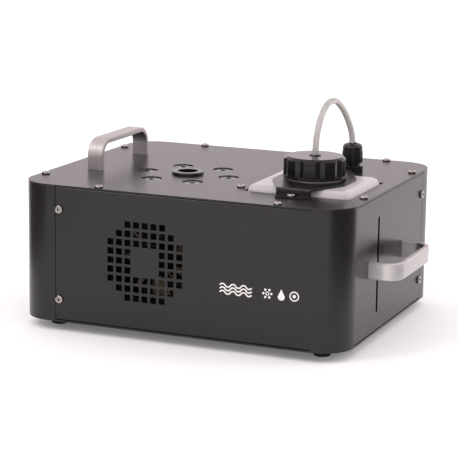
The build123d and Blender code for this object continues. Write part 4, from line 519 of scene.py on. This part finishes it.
# The free loop of the fluid tube, in millimetres: up out of the cap, over, into the gland.
TUBE_ROUTE = [
    (83.0, -35.0, 161.5),
    (83.0, -35.0, 178.0),
    (83.2, -30.8, 194.5),
    (83.8, -21.1, 209.5),
    (84.6, -4.8, 218.8),
    (85.7, 14.3, 217.0),
    (86.7, 32.9, 205.5),
    (87.5, 49.6, 189.0),
    (88.0, 58.0, 173.0),
    (88.0, 58.0, 158.5),
]


class FogMachineSizes(bpy.types.PropertyGroup):
    """Sizes of the pieces that are made here."""

    tube_diameter: FloatProperty(
        name="Tube diameter", description="Outside of the fluid tube",
        default=6.0 * MM, unit="LENGTH",
    )
    tube_length: FloatProperty(
        name="Tube length", description="Free loop from the cap to the gland",
        default=0.1655, unit="LENGTH",
    )
    rib_width: FloatProperty(
        name="Rib width", description="Width of one grip rib on the cap",
        default=0.8 * MM, unit="LENGTH",
    )
    rib_count: IntProperty(
        name="Ribs", description="Grip ribs on each land between the cap's flutes", default=5
    )
    claw_count: IntProperty(
        name="Claw fingers", description="Fingers round the gland's mouth", default=8
    )


class FogMachineColours(bpy.types.PropertyGroup):
    """Colours of the finishes that show most, each as a darker and a lighter tone."""

    powder_dark: FloatVectorProperty(
        name="Powder, dark", description="Darker tone of the case",
        subtype="COLOR_GAMMA", size=3, default=(0x0D / 255, 0x0B / 255, 0x0B / 255),
    )
    powder_light: FloatVectorProperty(
        name="Powder, light", description="Lighter tone of the case",
        subtype="COLOR_GAMMA", size=3, default=(0x14 / 255, 0x11 / 255, 0x12 / 255),
    )
    tank_dark: FloatVectorProperty(
        name="Tank, dark", description="Darker tone of the tank",
        subtype="COLOR_GAMMA", size=3, default=(0xB0 / 255, 0xAE / 255, 0xAF / 255),
    )
    tank_light: FloatVectorProperty(
        name="Tank, light", description="Lighter tone of the tank",
        subtype="COLOR_GAMMA", size=3, default=(0xC0 / 255, 0xBE / 255, 0xBF / 255),
    )
    metal_dark: FloatVectorProperty(
        name="Top handle, dark", description="Darker tone of the top handle",
        subtype="COLOR_GAMMA", size=3, default=(0xAC / 255, 0xA9 / 255, 0xA8 / 255),
    )
    metal_light: FloatVectorProperty(
        name="Top handle, light", description="Lighter tone of the top handle",
        subtype="COLOR_GAMMA", size=3, default=(0xC4 / 255, 0xC0 / 255, 0xBF / 255),
    )
    tube_dark: FloatVectorProperty(
        name="Tube, dark", description="Darker tone of the fluid tube",
        subtype="COLOR_GAMMA", size=3, default=(0xBC / 255, 0xBC / 255, 0xB9 / 255),
    )
    tube_light: FloatVectorProperty(
        name="Tube, light", description="Lighter tone of the fluid tube",
        subtype="COLOR_GAMMA", size=3, default=(0xCE / 255, 0xCE / 255, 0xCB / 255),
    )


class FogMachineStudio(bpy.types.PropertyGroup):
    """The camera and the light."""

    heading: FloatProperty(
        name="Heading", description="How far the camera stands round to the right",
        default=math.radians(22.69), subtype="ANGLE",
    )
    pitch: FloatProperty(
        name="Pitch", description="How far the camera looks down",
        default=math.radians(12.06), subtype="ANGLE",
    )
    roll: FloatProperty(
        name="Roll", description="How far the camera leans",
        default=math.radians(0.76), subtype="ANGLE",
    )
    lens: FloatProperty(
        name="Lens", description="Focal length of the camera in millimetres", default=147.75
    )
    room_light: FloatProperty(
        name="Room light", description="Brightness of the white room", default=1.2
    )


def hex_of(colour):
    """The hex code of a colour property."""
    return "".join(f"{round(c * 255):02X}" for c in colour)


class FOGMACHINE_OT_stage(bpy.types.Operator):
    """Set up the floor, the soft light and the camera"""

    bl_idname = "fogmachine.stage"
    bl_label = "Studio"

    def execute(self, context):
        studio = context.scene.fog_studio
        yaw, down, lean = studio.heading, studio.pitch, studio.roll
        ahead = Vector(
            (-math.sin(yaw) * math.cos(down), math.cos(yaw) * math.cos(down), -math.sin(down))
        )
        right = Vector((math.cos(yaw), math.sin(yaw), 0))
        up = right.cross(ahead)
        leant_right = right * math.cos(lean) + up * math.sin(lean)
        leant_up = up * math.cos(lean) - right * math.sin(lean)
        data = bpy.data.cameras.new("camera")
        data.lens = studio.lens
        data.sensor_width = 36.0
        camera = bpy.data.objects.new("camera", data)
        context.scene.collection.objects.link(camera)
        turn = Matrix((leant_right, leant_up, -ahead)).transposed().to_4x4()
        camera.matrix_world = Matrix.Translation(CAMERA_AT) @ turn
        context.scene.camera = camera

        world = bpy.data.worlds.new("white_room")
        context.scene.world = world
        world.use_nodes = True
        background = world.node_tree.nodes["Background"]
        background.inputs["Color"].default_value = linear("FFF2F5")
        background.inputs["Strength"].default_value = studio.room_light

        start_clean()
        bpy.ops.mesh.primitive_plane_add(size=40.0, location=(0, 0, 0))
        floor = just_added("studio_floor")
        floor.data.materials.append(
            make_finish(
                "lit_white_floor", ("F4F8F7", "F6FAF9"), (0.8, 0.9), 900.0, 30.0, 0.01,
                IOR=1.3, Emission_Strength=0.12,
            )
        )

        for name, place, size, power in LAMPS:
            lamp = bpy.data.lights.new(name, "AREA")
            lamp.size = size
            lamp.energy = power
            stand = bpy.data.objects.new(name, lamp)
            context.scene.collection.objects.link(stand)
            stand.location = place
            aim = LAMPS_AIM - Vector(place)
            stand.rotation_mode = "QUATERNION"
            stand.rotation_quaternion = aim.to_track_quat("-Z", "Y")

        # Two grey screens at the sides, as a product studio has: they aren't seen
        # themselves, and give the round corners of the case their dark band.
        screen_grey = make_finish(
            "grey_studio_cloth", ("767474", "807E7E"), (0.9, 0.95), 50.0, 2.0, 0.01
        )
        for name, side, near, far in SCREENS:
            start_clean()
            bpy.ops.mesh.primitive_plane_add(size=1.0, location=(0, 0, 0))
            screen = just_added(name)
            screen.data.transform(
                Matrix.Translation((side, (near + far) / 2, SCREEN_H / 2))
                @ Matrix.Rotation(math.radians(90), 4, "Y")
                @ Matrix.Diagonal((SCREEN_H, far - near, 1, 1))
            )
            screen.data.materials.append(screen_grey)
            screen.visible_camera = False
            screen.visible_shadow = False
            screen.visible_diffuse = False
        context.scene.view_settings.view_transform = "Standard"
        return {"FINISHED"}


class FOGMACHINE_OT_fluid_tube(bpy.types.Operator):
    """Lay the fluid tube from the cap to the gland"""

    bl_idname = "fogmachine.fluid_tube"
    bl_label = "Fluid tube"

    def execute(self, context):
        sizes = context.scene.fog_sizes
        curve = bpy.data.curves.new("clear_fluid_tube", "CURVE")
        curve.dimensions = "3D"
        curve.bevel_depth = sizes.tube_diameter / 2
        curve.bevel_resolution = 8
        curve.resolution_u = 12
        curve.use_fill_caps = True
        spline = curve.splines.new("NURBS")
        spline.points.add(len(TUBE_ROUTE) - 1)
        for point, place in zip(spline.points, TUBE_ROUTE):
            point.co = (*(Vector(place) * MM), 1.0)
        spline.order_u = 3
        spline.use_endpoint_u = True
        tube = bpy.data.objects.new("clear_fluid_tube", curve)
        context.scene.collection.objects.link(tube)
        curve.materials.append(FINISHES["clear_tube"])
        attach(tube, "case")
        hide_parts("fluid_tube")
        return {"FINISHED"}


class FOGMACHINE_OT_finishes(bpy.types.Operator):
    """Give every part of the frame the finish of its slot"""

    bl_idname = "fogmachine.finishes"
    bl_label = "Finishes"

    def execute(self, context):
        slots = {part["node"]: part["material_slot"] for part in frame["record"]["subparts"]}
        for name, node in frame["nodes"].items():
            finish = FINISHES[OWN_FINISH.get(name, slots[name])]
            if not node.material_slots:
                node.data.materials.append(finish)
            for place in node.material_slots:
                place.material = finish
        return {"FINISHED"}


class FOGMACHINE_OT_cap_ribs(bpy.types.Operator):
    """Model the fine grip ribs on the lands of the tank cap"""

    bl_idname = "fogmachine.cap_ribs"
    bl_label = "Cap ribs"

    def execute(self, context):
        sizes = context.scene.fog_sizes
        low = cap_low[2] + 2.4 * MM
        high = cap_high[2] - 3.2 * MM
        rib = block(
            (RIB_DEPTH, sizes.rib_width, high - low),
            (CAP_CENTRE.x + CAP_RADIUS - RIB_INSET, CAP_CENTRE.y, (low + high) / 2),
            0.28 * MM,
        )
        middle = (sizes.rib_count - 1) / 2
        angles = [
            math.radians(FIRST_LAND + 360.0 / CAP_FLUTES * flute + LAND_RIB_STEP * (n - middle))
            for flute in range(CAP_FLUTES)
            for n in range(sizes.rib_count)
        ]
        ribs = copied_round(rib, CAP_CENTRE, angles, "cap_grip_ribs")
        finish_piece(ribs, FINISHES["black_polypropylene"], "tank_cap")
        return {"FINISHED"}


class FOGMACHINE_OT_gland_claw(bpy.types.Operator):
    """Model the fingers that show in the gland's mouth and the grip of its nut"""

    bl_idname = "fogmachine.gland_claw"
    bl_label = "Gland claw"

    def execute(self, context):
        count = context.scene.fog_sizes.claw_count
        finger = block(
            (0.9 * MM, 2.0 * MM, 5.0 * MM),
            (NUT_CENTRE.x + CLAW_R, NUT_CENTRE.y, nut_high[2] - 1.6 * MM),
            0.25 * MM,
        )
        angles = [2 * math.pi * n / count for n in range(count)]
        claw = copied_round(finger, NUT_CENTRE, angles, "gland_claw")
        finish_piece(claw, FINISHES["black_nylon"], "case")
        grip = block(
            (0.9 * MM, 1.3 * MM, GRIP_H),
            (nut_high[0] - 0.1 * MM, NUT_CENTRE.y, nut_low[2] + 1.0 * MM + GRIP_H / 2),
            0.3 * MM,
        )
        angles = [2 * math.pi * n / GRIPS for n in range(GRIPS)]
        grips = copied_round(grip, NUT_CENTRE, angles, "gland_nut_grip")
        finish_piece(grips, FINISHES["black_nylon"], "case")
        return {"FINISHED"}


class FOGMACHINE_OT_lens_hollows(bpy.types.Operator):
    """Put a near black disc in the middle of each light's lens, as painted shade for the dark
    seen through its hollow
    """

    bl_idname = "fogmachine.lens_hollows"
    bl_label = "Lens hollows"

    def execute(self, context):
        lens_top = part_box("light_lenses")[1][2]
        ring_low, ring_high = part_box("nozzle_ring")
        middle = Vector(((ring_low[0] + ring_high[0]) / 2, (ring_low[1] + ring_high[1]) / 2, 0))
        start_clean()
        bpy.ops.mesh.primitive_cylinder_add(
            vertices=32,
            radius=HOLLOW_R,
            depth=HOLLOW_T,
            location=(middle.x + LIGHT_RING_R, middle.y, lens_top - 0.15 * MM),
        )
        hollow = bpy.context.active_object
        settle(hollow)
        hollow.select_set(True)
        bpy.ops.object.mode_set(mode="EDIT")
        bpy.ops.mesh.select_all(action="SELECT")
        bpy.ops.mesh.bevel(offset=0.08 * MM, segments=2, affect="EDGES")
        bpy.ops.object.mode_set(mode="OBJECT")
        angles = [2 * math.pi * n / LIGHTS for n in range(LIGHTS)]
        hollows = copied_round(hollow, middle, angles, "lens_hollows")
        finish_piece(hollows, FINISHES["painted_lens_shade"], "case")
        return {"FINISHED"}


class FOGMACHINE_OT_front_print(bpy.types.Operator):
    """Print plain pictures of fog, lights and fluid on the front"""

    bl_idname = "fogmachine.front_print"
    bl_label = "Front print"

    def execute(self, context):
        wall = front_low[1]
        made = [
            ink_wave(3.0 * MM, 1.3 * MM, 6, (WAVES_X, wall, PRINT_Z + row * WAVE_STEP), -1)
            for row in (-1, 0, 1)
        ]
        for n in range(LIGHTS):
            angle = 2 * math.pi * n / LIGHTS
            along, up = LAMP_RAY_R * math.cos(angle), LAMP_RAY_R * math.sin(angle)
            made.append(ink_disc(1.1 * MM, (LAMP_X + along, wall, PRINT_Z + up), -1, sides=24))
        made.append(ink_disc(1.9 * MM, (LAMP_X, wall, PRINT_Z), -1, hole=1.1 * MM))
        made.append(ink_disc(3.4 * MM, (DROP_X, wall, PRINT_Z - 1.6 * MM), -1, tip=1.0))
        made.append(ink_disc(4.6 * MM, (DIAL_X, wall, PRINT_Z), -1, hole=3.5 * MM))
        made.append(ink_disc(1.6 * MM, (DIAL_X, wall, PRINT_Z), -1, sides=24))
        marks = joined(made, "front_print")
        finish_piece(marks, FINISHES["white_ink"], "case")
        return {"FINISHED"}


class FOGMACHINE_OT_rear_print(bpy.types.Operator):
    """Print plain signs for the buttons and the data sockets on the rear"""

    bl_idname = "fogmachine.rear_print"
    bl_label = "Rear print"

    def execute(self, context):
        wall = rear_high[1]
        made = []
        for button, (sides, turn, hole) in BUTTON_SIGNS.items():
            low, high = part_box(button)
            place = ((low[0] + high[0]) / 2, wall, low[2] - BUTTON_SIGN_DOWN)
            made.append(
                ink_disc(BUTTON_SIGN_R, place, 1, sides=sides, hole=hole, turn=math.radians(turn))
            )
        for socket, turn in SOCKET_SIGNS.items():
            low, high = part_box(socket)
            place = ((low[0] + high[0]) / 2, wall, high[2] + SOCKET_SIGN_UP)
            made.append(ink_disc(SOCKET_SIGN_R, place, 1, sides=3, turn=math.radians(turn)))
        marks = joined(made, "rear_print")
        finish_piece(marks, FINISHES["white_ink"], "case")
        return {"FINISHED"}


class FOGMACHINE_PT_panel(bpy.types.Panel):
    """Lists the steps of the fog machine"""

    bl_idname = "FOGMACHINE_PT_panel"
    bl_label = "Fog Machine"
    bl_space_type = "VIEW_3D"
    bl_region_type = "UI"
    bl_category = "Fog Machine"

    def draw(self, context):
        for group in (
            context.scene.fog_sizes,
            context.scene.fog_colours,
            context.scene.fog_studio,
        ):
            box = self.layout.box()
            for name in group.bl_rna.properties.keys():
                if name not in ("rna_type", "name"):
                    box.prop(group, name)
        for step in STEPS:
            self.layout.operator(step.bl_idname)


STEPS = (
    FOGMACHINE_OT_stage,
    FOGMACHINE_OT_fluid_tube,
    FOGMACHINE_OT_finishes,
    FOGMACHINE_OT_cap_ribs,
    FOGMACHINE_OT_gland_claw,
    FOGMACHINE_OT_lens_hollows,
    FOGMACHINE_OT_front_print,
    FOGMACHINE_OT_rear_print,
)
GROUPS = (FogMachineSizes, FogMachineColours, FogMachineStudio)
FINISHES = {}
# Nodes whose finish differs a little from the rest of their slot.
OWN_FINISH = {
    "tank_cap": "black_polypropylene",
    # The side handle's lighter finish is painted light.
    "side_handle": "brushed_aluminium_side_painted_light",
    "fan_frame": "fan_polyester",
    "fan_rotor": "fan_polyester",
}


def register():
    for kind in (*GROUPS, *STEPS, FOGMACHINE_PT_panel):
        bpy.utils.register_class(kind)
    bpy.types.Scene.fog_sizes = PointerProperty(type=FogMachineSizes)
    bpy.types.Scene.fog_colours = PointerProperty(type=FogMachineColours)
    bpy.types.Scene.fog_studio = PointerProperty(type=FogMachineStudio)


def unregister():
    del bpy.types.Scene.fog_studio
    del bpy.types.Scene.fog_colours
    del bpy.types.Scene.fog_sizes
    for kind in (FOGMACHINE_PT_panel, *reversed(STEPS), *reversed(GROUPS)):
        bpy.utils.unregister_class(kind)


def main():
    """Registers the add-on and makes every piece in order."""
    register()
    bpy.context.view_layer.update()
    colours = bpy.context.scene.fog_colours
    FINISHES.update(
        make_finishes(
            {
                "powder": (hex_of(colours.powder_dark), hex_of(colours.powder_light)),
                "aluminium": (hex_of(colours.metal_dark), hex_of(colours.metal_light)),
                "tank": (hex_of(colours.tank_dark), hex_of(colours.tank_light)),
                "tube": (hex_of(colours.tube_dark), hex_of(colours.tube_light)),
            }
        )
    )
    for step in STEPS:
        area, name = step.bl_idname.split(".")
        getattr(getattr(bpy.ops, area), name)()


if __name__ == "__main__":
    main()
